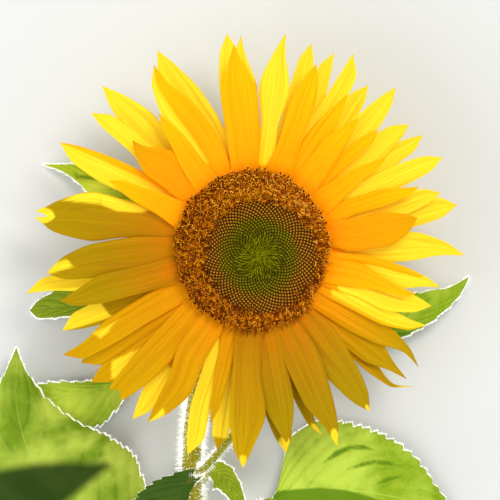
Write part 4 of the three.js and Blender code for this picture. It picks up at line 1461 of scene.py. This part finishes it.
@dataclass
class StemLine:
    """The line of the stem's middle, from its cut end to the back of the receptacle."""

    knots: tuple[tuple[float, float, float, float], ...] = (
        (-34, -226, 7, 7),
        (-35.2, -175, 6.5, 6.5),
        (-36.4, -124, 5.8, 5.8),
        (-33, -90, 5.7, 5.7),
        (-23, -52, 7, 6.4),
        (-9, -17, 12, 7.6),
        (-0.6, 1.5, 24.5, 8.4),
        (0, 0, RIM_HEIGHT - RECEPTACLE_DEPTH - GAP, NECK_RADIUS),
    )

    def point(self, share: float) -> Array:
        """Finds a point of the line, as a centripetal Catmull-Rom curve through the knots has it.

        Args:
            share: how far along the knots it lies, from 0 to 1.

        Returns:
            The point.
        """
        knots = np.array(self.knots)[:, :3]
        last = len(knots) - 1
        span = min(int(share * last), last - 1)
        weight = share * last - span
        before = knots[span - 1] if span else 2 * knots[0] - knots[1]
        a, b = knots[span], knots[span + 1]
        beyond = knots[span + 2] if span + 2 <= last else 2 * knots[last] - knots[last - 1]
        d0, d1, d2 = (np.linalg.norm(q - p) ** 0.5 for p, q in ((before, a), (a, b), (b, beyond)))
        start = ((a - before) / d0 - (b - before) / (d0 + d1) + (b - a) / d1) * d1
        end = ((b - a) / d1 - (beyond - a) / (d1 + d2) + (beyond - b) / d2) * d1
        c2, c3 = -3 * a + 3 * b - 2 * start - end, 2 * a - 2 * b + start + end
        return a + start * weight + c2 * weight**2 + c3 * weight**3

    def radius(self, share: float) -> float:
        """Radius of the stem there."""
        radii = [k[3] for k in self.knots]
        return float(np.interp(share * (len(radii) - 1), range(len(radii)), radii))

    def way(self, share: float) -> Array:
        """The way the line goes there."""
        low, high = max(0.0, share - 1e-4), min(1.0, share + 1e-4)
        return unit(self.point(high) - self.point(low))


@dataclass
class Stem:
    """The stem: a ribbed stalk that lies on the floor and turns up into the head, set with bristles."""

    seat: Seat
    line: StemLine
    rings: int = 170
    sides: int = 40
    ribs: int = 9
    rib_height: float = 0.28
    length: float = 250.0
    bristles: int = 13000
    bristle: Hair = Hair(5.6, 0.17, 0.5)
    rooted: float = 0.45  # how deep a bristle's foot sits in the skin
    seed: int = 31

    def stalk(self) -> Shape:
        """Builds the stalk itself, ribbed along its length, with a cut face at its lower end.

        Returns:
            The stalk, over the floor.
        """
        shares = np.linspace(0, 1, self.rings)
        path = np.array([self.line.point(s) for s in shares])
        radii = np.array([self.line.radius(s) for s in shares])
        shape = tube(path, radii, self.sides, first=(1, 0, 0))
        angles = np.tile(np.arange(self.sides) / self.sides * TURN, self.rings)
        along = np.repeat(shares * self.length, self.sides)
        rise = self.rib_height * np.cos(self.ribs * angles) + 0.12 * np.sin(along * 0.35 + 3 * angles)
        middle = np.repeat(path, self.sides, axis=0)
        shape.points = shape.points + unit(shape.points - middle) * (rise[:, None] - self.rib_height)
        shape.points[:, 2] = np.maximum(shape.points[:, 2], 0.02)
        return shape

    def bristle_coat(self, rng: Rng) -> Shape:
        """Sets stiff white hairs all over the stem.

        Args:
            rng: source of their irregularities.

        Returns:
            The hairs.
        """
        shares = rng.uniform(0.004, 0.99, self.bristles)
        path = np.array([self.line.point(s) for s in shares])
        ways = np.array([self.line.way(s) for s in shares])
        radii = np.array([self.line.radius(s) for s in shares])
        level = unit(np.cross(ways, UP))
        upright = np.cross(level, ways)
        turn = rng.uniform(0, TURN, self.bristles)[:, None]
        out = level * np.cos(turn) + upright * np.sin(turn)
        feet = path + out * (radii[:, None] - self.rooted)
        lean = unit(out + ways * rng.uniform(-0.45, 0.1, (self.bristles, 1)) + rng.normal(0, 0.12, path.shape))
        return self.bristle.coat(feet, lean, rng.uniform(0.45, 1.1, self.bristles), rng, out)

    def build(self) -> None:
        """Makes the stalk and its coat."""
        skin = FibrousSkin("stem_skin_ribbed", "#b8b024", "#8a8812", 1.3, "#947018", 0.25)
        self.seat.moved(self.stalk()).piece("stem_stalk", [skin.material()], "stem", "stem")
        coat = self.bristle_coat(np.random.default_rng(self.seed))
        self.seat.moved(coat).piece("stem_bristles", BRISTLE.materials(), "stem")


# ---------------------------------------------------------------- leaves


@dataclass(frozen=True)
class Leaf:
    """One leaf as the solids have it.

    foot is where its stalk meets the stem: how far along Y, and the angle round the stem. base, bow
    and tip are the blade's run. right and left are how far its edges lie from that run, looking from
    the stalk, at each of the leaves' stations but the last.
    """

    foot: tuple[float, float]
    base: tuple[float, float, float]
    bow: tuple[float, float, float]
    tip: tuple[float, float, float]
    right: tuple[float, ...]
    left: tuple[float, ...]
    tint: LeafTint
    sag: float = 4.0
    roll: float = 0.0
    lobe: float = 0.0  # how far the lobes at its base reach back behind its stalk
    teeth: int = 14
    tooth: float = 2.2  # how deep its teeth are cut
    smooth_until: float = 0.05
    wave: float = 1.0
    lean: float = 0.35  # how far a side vein runs towards the tip on its way to the edge
    quilt: float = 1.0
    pull: float = 0.3  # how far its stalk keeps the way it sets off in
    shade: tuple[Outline, ...] = ()
    down: float = 8.0  # hairs for each millimetre of its rim

    def bends(self) -> tuple[Array, Array, Array]:
        """Base, bow and tip of its run."""
        return np.array(self.base, float), np.array(self.bow, float), np.array(self.tip, float)

    def run(self, t: Array) -> Array:
        """Points of its run at shares of its length, given as a column."""
        base, bow, tip = self.bends()
        return base * (1 - t) ** 2 + bow * 2 * t * (1 - t) + tip * t * t


def leaves_of_bloom() -> dict[str, Leaf]:
    """Lists the leaves as the photograph shows them.

    Returns:
        Every leaf, by its node.
    """
    return {
        "leaf_top_left": Leaf(
            (-30, 180), (-46, 14, 16), (-93, 46, 22), (-127, 51.2, 0.8),
            (3, 8, 11, 9, 6.6, 2.8, 1), (3, 8, 12.5, 11.4, 4.8, 1.4, 0.7), LeafTint.SUNNY, wave=0.4, tooth=1.2,
            shade=(((-107.4, 45.1), (-106.2, 42.7), (-93.6, 41.5), (-93.6, 43.9)),),
        ),
        "leaf_left": Leaf(
            (-58, 175), (-58, -38, 12), (-95, -31, 19), (-134.4, -37.2, 0.8),
            (3, 9, 13.8, 14.5, 13.6, 9.8, 5), (3, 5, 5.8, 6.2, 6.6, 6.6, 5.3), LeafTint.FRESH, roll=8, teeth=6,
            wave=0.5,
        ),
        "leaf_right": Leaf(
            (-134, 38), (54, -58, 18), (99, -46.5, 26), (131.4, -16.2, 0.8),
            (2, 5, 7.2, 8.6, 7.8, 5.7, 2.7), (2, 9, 14.5, 15.2, 11.3, 3.2, 1), LeafTint.LIT, sag=5, roll=-8, teeth=9,
            wave=0.6, pull=0.08,
            shade=(((60, -61), (112, -61), (112, -34), (97, -44), (80, -50.5), (60, -52)),),
        ),
        "leaf_lower_right": Leaf(
            (-176, 10), (9, -153, 8), (66, -134, 34), (125, -164, 3),
            (8, 33, 41.5, 39, 28.5, 14.6, 5.2), (8, 35.4, 42.8, 38.8, 29.4, 15.2, 5.4), LeafTint.LIT, sag=14, lobe=-11,
            teeth=24, tooth=3.1, smooth_until=0.26, wave=1.2, lean=0.42, quilt=1.8,
            shade=(
                ((6, -150.5), (6, -190), (90, -190), (90, -157), (72, -149.5), (57, -145.3), (40.8, -143.8),
                 (17.4, -145.6)),
                ((51.8, -124.7), (60.3, -120.4), (58.5, -118.6), (50, -121.6), (41.6, -130.1)),
                ((58.5, -120.8), (67.5, -121), (76, -121.6), (67.5, -118.3), (58.5, -118.6)),
                ((66.3, -131.3), (76, -129.5), (74.7, -127.1), (66.3, -128.6), (55.5, -133.7)),
                ((75.3, -129.8), (83.2, -130.7), (90.4, -131.3), (83.2, -128), (74.7, -127.1)),
                ((82, -140.3), (91, -138.5), (90.4, -136.7), (80.8, -137.9), (71.1, -143.9)),
            ),
        ),
        "leaf_small": Leaf(
            (-140, 0), (-26, -135, 10), (-13, -131, 20), (-3, -168, 18),
            (4, 9, 10, 7.6, 5, 3, 1), (4, 7, 7.7, 6.7, 5, 3, 1), LeafTint.FRESH, sag=2, teeth=5, wave=0.4, quilt=0.5,
        ),
        "leaf_front": Leaf(
            (-139, 98), (-37, -139.5, 20), (-58, -160, 31), (-80, -210, 20),
            (3, 10, 18, 21, 16, 8, 2.5), (3, 4.5, 11, 17, 14, 8, 2.4), LeafTint.DEEP, sag=5, lobe=8, teeth=15,
            down=1.5,
        ),
        "leaf_lower_left": Leaf(
            (-207, 165), (-62, -186, 12), (-152, -152, 34), (-142.2, -58.7, 14),
            (22, 36, 51.4, 47.7, 32, 15.5, 4.5), (18, 29, 41.5, 38.5, 25.8, 12.5, 3.6), LeafTint.SOFT, sag=12,
            lobe=9, teeth=22, wave=1.6, lean=0.35, quilt=1.2,
            shade=(
                ((-156, -133.7), (-156, -172), (-137, -172), (-85.5, -131.4), (-88, -129.2), (-109.2, -128.3),
                 (-127.8, -128.9)),
            ),
        ),
        "leaf_behind": Leaf(
            (-86, 180), (-75, -79, 7), (-116, -89, 12), (-168, -112, 0.8),
            (3, 4, 7, 13, 15, 9, 3), (4, 15.5, 23, 21.7, 16.4, 9.9, 4.2), LeafTint.HAZY, wave=0.6,
        ),
    }


@dataclass
class Leaves:
    """The eight leaves, each a round stalk that runs on into a toothed and veined blade."""

    seat: Seat
    line: StemLine
    stations: tuple[float, ...] = (0, 0.12, 0.3, 0.5, 0.7, 0.85, 0.95, 1)
    stalk_radius: float = 2.2
    midrib: tuple[float, float] = (2.1, 0.35)  # radius of the midrib at its foot and at its end
    midrib_end: float = 0.93
    thickness: float = 0.9
    arrives_pull: float = 0.35
    vein_count: float = 8.0
    vein_crowding: float = 0.9  # under 1, side veins stand closer together towards the tip
    vein_width: float = 0.07
    midrib_width: float = 0.04
    floor_gaps: tuple[float, float] = (0.75, 0.05)  # least height of its upper and its lower side
    wide_from: float = 20.0
    wide_grid: tuple[int, int] = (200, 45)
    narrow_grid: tuple[int, int] = (120, 33)
    rim_hair: Hair = Hair(1.5, 0.17, 0.2, 2)
    stalk_hair: Hair = Hair(4.2, 0.16, 0.3)
    stalk_density: float = 22.0  # hairs for each millimetre of a stalk
    seed: int = 47
    down: list[Shape] = field(default_factory=list)
    coats: list[Shape] = field(default_factory=list)

    def stalk_foot(self, foot: tuple[float, float]) -> tuple[Array, Array]:
        """Finds where a leaf's stalk starts, just clear of the stem's side.

        Args:
            foot: how far along Y it meets the stem, and the angle round the stem in degrees.

        Returns:
            The place, and the way it sets off.
        """
        share = 0.0
        while self.line.point(share)[1] < foot[0]:
            share += 0.001
        along = self.line.way(share)
        sideways = unit(np.cross(along, UP))
        angle = math.radians(foot[1])
        out = sideways * math.cos(angle) + np.cross(sideways, along) * math.sin(angle)
        return self.line.point(share) + out * (self.line.radius(share) + GAP), out

    def blade(self, leaf: Leaf, rng: Rng) -> Shape:
        """Builds the toothed and veined blade of a leaf, and sets the down on its rim.

        Args:
            leaf: the leaf's sizes.
            rng: source of its small irregularities.

        Returns:
            The blade's closed thin body over the floor.
        """
        base, bow, tip = leaf.bends()
        rows, columns = self.wide_grid if max(leaf.right) > self.wide_from else self.narrow_grid
        s = np.linspace(0, 1, rows)
        t, v = s[:, None], np.linspace(-1, 1, columns)[None, :]
        centre = leaf.run(t)
        along = unit((bow - base) * (1 - t) + (tip - bow) * t)
        side = unit(np.cross(UP, along))
        roll = math.radians(leaf.roll)
        side = side * math.cos(roll) + np.cross(along, side) * math.sin(roll)
        normal = unit(np.cross(along, side))
        length = float(lengths_of(centre).sum())
        halves = [flowing(self.stations, (*edge, 0.0), s)[:, None] for edge in (leaf.right, leaf.left)]
        inner = np.where(v < 0, *halves)
        most = max(*leaf.left, *leaf.right)
        count = s * leaf.teeth + 0.12 * np.sin(s * 23)
        toothed = smooth_step((s - leaf.smooth_until) / 0.06) * smooth_step((1 - s) / 0.04)
        toothed = toothed * (0.82 + 0.18 * np.cos(math.pi * np.floor(count)))
        bite = np.minimum((leaf.tooth * (1 - count % 1) ** 1.2 * toothed)[:, None], inner * 0.12)
        across = v * (inner - bite * np.abs(v) ** 6)
        order = t - leaf.lean * np.abs(v) ** 1.25 + 0.04
        order = np.sign(order) * np.abs(order) ** self.vein_crowding * self.vein_count
        off_vein = np.abs(order - np.round(order))
        ribbed = np.exp(-((off_vein / self.vein_width) ** 2)) * 0.7
        ribbed = np.maximum(ribbed, np.exp(-((v / self.midrib_width) ** 2)))
        swell = np.sin(math.pi * np.clip(off_vein * 2, 0, 1) / 2) * smooth_step(np.abs(v) / 0.18)
        swell = swell * (1 - 0.6 * v**4) * leaf.quilt
        room = np.clip((halves[0] + halves[1]) / 24, 0, 1)
        phase = rng.uniform(0, TURN, 2)
        wave = leaf.wave * v * v * np.where(v < 0, np.sin(t * 13 + phase[0]), np.sin(t * 12 + phase[1]))
        rise = -leaf.sag * (inner / most) * v * v + (wave + swell) * room
        sweep = -leaf.lobe * (1 - t) ** 3 * np.abs(v) ** (1.4 if leaf.lobe > 0 else 0.5)
        middle = centre[:, None] + side[:, None] * across[..., None] + along[:, None] * sweep[..., None]
        body = self.thickness * (0.35 + 0.65 * np.sqrt(np.clip(1 - v * v, 0, 1)))
        top = middle + normal[:, None] * (rise + body / 2 - 0.2 * ribbed * room)[..., None]
        under = middle + normal[:, None] * (rise - body / 2 - 0.7 * ribbed * room)[..., None]
        top[..., 2] = np.maximum(top[..., 2], self.floor_gaps[0])
        under[..., 2] = np.minimum(np.maximum(under[..., 2], self.floor_gaps[1]), top[..., 2] - 0.2)
        self.rim_down((top + under) / 2, leaf.down, rng)
        flat = np.zeros_like(across)
        fields = {
            "run": flat + t,
            "across": flat + v,
            "order": flat + order,
            "edge": np.minimum((1 - np.abs(v)) * inner, t * length + flat),
            "shade": outlined(leaf.shade, middle[..., 0], middle[..., 1]),
            "grain": np.stack([flat + t * length, across, flat + rng.uniform(0, 300)], axis=-1),
        }
        return shell(top, under, fields)

    def rim_down(self, middle: Array, density: float, rng: Rng) -> None:
        """Sets short white hairs along a blade's rim, kept for the piece that holds them all.

        Args:
            middle: (rows, columns, 3) points of the blade.
            density: hairs for each millimetre.
            rng: source of the hairs' irregularities.
        """
        rim = np.concatenate([middle[::-1, 0], middle[0, 1:-1], middle[:, -1]])
        inside = np.concatenate([middle[::-1, 2], middle[4, 1:-1], middle[:, -3]])
        steps = lengths_of(rim)
        count = int(steps.sum() * density)
        at = rng.uniform(0, steps.sum(), count)
        low = np.clip(np.searchsorted(np.cumsum(steps), at), 0, len(steps) - 1)
        feet = rim[low] + (rim[low + 1] - rim[low]) * rng.uniform(0, 1, (count, 1))
        way = unit(unit(rim[low] - inside[low]) + rng.normal(0, 0.25, feet.shape))
        self.down.append(self.rim_hair.coat(feet - way * 0.2, way, rng.uniform(0.5, 1.15, count), rng))

    def stalk(self, leaf: Leaf, rng: Rng) -> Shape:
        """Builds the leaf's stalk, which runs on as the midrib under the blade, and its hairs.

        Args:
            leaf: the leaf's sizes.
            rng: source of the hairs' irregularities.

        Returns:
            The stalk, over the floor.
        """
        start, out = self.stalk_foot(leaf.foot)
        base, bow, _ = leaf.bends()
        span = np.linalg.norm(base - start)
        leaving = start + out * span * leaf.pull
        arriving = base - unit(bow - base) * span * self.arrives_pull
        t = np.linspace(0, 1, 40)[:, None]
        stalk = start * (1 - t) ** 3 + leaving * 3 * t * (1 - t) ** 2 + arriving * 3 * t * t * (1 - t) + base * t**3
        s = np.linspace(0, self.midrib_end, 50)[1:, None]
        thinning = np.linspace(*self.midrib, len(s))
        radii = np.concatenate([np.full(len(stalk), self.stalk_radius), thinning])
        path = np.concatenate([stalk, leaf.run(s)])
        path[len(stalk) :, 2] -= smooth_step(s[:, 0] / 0.06) * (thinning - 0.1)
        path[:, 2] = np.maximum(path[:, 2], radii + 0.02)
        self.stalk_down(path[: len(stalk)], rng)
        made = tube(path, radii, 14)
        made.fields |= {name: np.full(len(made.points), 0.5) for name in ("order", "edge", "shade")}
        return made

    def stalk_down(self, path: Array, rng: Rng) -> None:
        """Sets white hairs round a stalk, kept for the piece that holds them all.

        Args:
            path: (n, 3) points of the stalk's middle.
            rng: source of the hairs' irregularities.
        """
        count = int(lengths_of(path).sum() * self.stalk_density)
        at = rng.uniform(0, len(path) - 2, count)
        low = at.astype(int)
        step = path[low + 1] - path[low]
        where = path[low] + step * (at - low)[:, None]
        out = unit(np.cross(unit(step), rng.normal(0, 1, where.shape)))
        lean = unit(out + rng.normal(0, 0.15, where.shape))
        feet = where + out * (self.stalk_radius - 0.25)
        self.coats.append(self.stalk_hair.coat(feet, lean, rng.uniform(0.4, 1.0, count), rng, out))

    def build(self) -> None:
        """Makes every leaf, and the down on them all."""
        rng = np.random.default_rng(self.seed)
        skins = {tint: tint.skins() for tint in LeafTint}
        for node, leaf in leaves_of_bloom().items():
            stalk = self.stalk(leaf, rng)
            stalk.shades = np.full(len(stalk.quads) + len(stalk.tris), 2)
            whole = self.seat.moved(Shape.merged([self.blade(leaf, rng), stalk]))
            whole.piece(f"{node}_blade", skins[leaf.tint], "leaf", node)
        self.seat.moved(Shape.merged(self.down)).piece("leaf_down", BRISTLE.materials(), "leaf")
        self.seat.moved(Shape.merged(self.coats)).piece("stalk_bristles", BRISTLE.materials(), "leaf")


# ---------------------------------------------------------------- studio


@dataclass
class Studio:
    """Plain pale floor, soft light and the camera that looks straight down. Its sizes are in metres."""

    camera_height: float = 8.0
    aimed_east: float = 0.0176
    aimed_north: float = 0.04725
    view_width: float = 0.3  # what the picture takes in at the height of the bloom
    bloom_height: float = 0.065
    floor_half: float = 4.0
    sensor: float = 36.0
    world_tone: str = "#fbf9f4"
    world_strength: float = 0.72

    def floor(self) -> None:
        """Lays the floor."""
        mesh, half = bpy.data.meshes.new("floor"), self.floor_half
        mesh.from_pydata([(-half, -half, 0), (half, -half, 0), (half, half, 0), (-half, half, 0)], [], [(0, 1, 2, 3)])
        mesh.materials.append(FloorPaint().material())
        made = bpy.data.objects.new("floor", mesh)
        bpy.context.scene.collection.objects.link(made)

    def lamp(self, name: str, place: tuple[float, float, float], size: float, power: float, tone: str) -> None:
        """Hangs a soft square lamp that shines on the flower.

        Args:
            name: the lamp's name.
            place: where it hangs.
            size: length of its sides.
            power: its power in watts.
            tone: sRGB colour of its light.
        """
        data = bpy.data.lights.new(name, "AREA")
        data.shape, data.size, data.energy = "SQUARE", size, power
        data.color = linear(tone)[:3]
        made = bpy.data.objects.new(name, data)
        made.location = place
        made.rotation_mode = "QUATERNION"
        target = np.array([self.aimed_east, self.aimed_north, self.bloom_height]) - place
        made.rotation_quaternion = Vector(target).to_track_quat("-Z", "Y")
        bpy.context.scene.collection.objects.link(made)

    def camera(self) -> None:
        """Sets up the camera."""
        data = bpy.data.cameras.new("camera")
        data.sensor_width = self.sensor
        data.lens = self.sensor * (self.camera_height - self.bloom_height) / self.view_width
        data.clip_end = 20.0
        made = bpy.data.objects.new("camera", data)
        made.location = (self.aimed_east, self.aimed_north, self.camera_height)
        bpy.context.scene.collection.objects.link(made)
        bpy.context.scene.camera = made

    def build(self) -> None:
        """Sets up floor, lamps, surrounding light and camera."""
        self.floor()
        self.lamp("key", (0.7, 0.9, 1.9), 0.8, 24.0, "#fff6e6")
        self.lamp("fill", (-1.1, -0.6, 1.3), 1.2, 8.0, "#fbf8f2")
        self.lamp("low", (-1.2, -0.8, 0.32), 0.5, 5.0, "#ffffff")
        world = bpy.data.worlds.new("studio")
        world.use_nodes = True
        around = world.node_tree.nodes["Background"].inputs
        around["Color"].default_value = linear(self.world_tone)
        around["Strength"].default_value = self.world_strength
        bpy.context.scene.world = world
        bpy.context.scene.view_settings.view_transform = "Standard"
        self.camera()


def main() -> None:
    """Builds every sub-assembly in order."""
    logging.basicConfig(level=logging.INFO, format="%(name)s %(message)s")
    seat = Seat.found()
    line = StemLine()
    LOG.info("head at %.2f, %.2f mm, lifted %.2f mm", seat.east, seat.north, seat.lift)
    for assembly in (Studio(), Rays(seat), Disc(seat), Cup(seat), Stem(seat, line), Leaves(seat, line)):
        assembly.build()


if __name__ == "__main__":
    main()
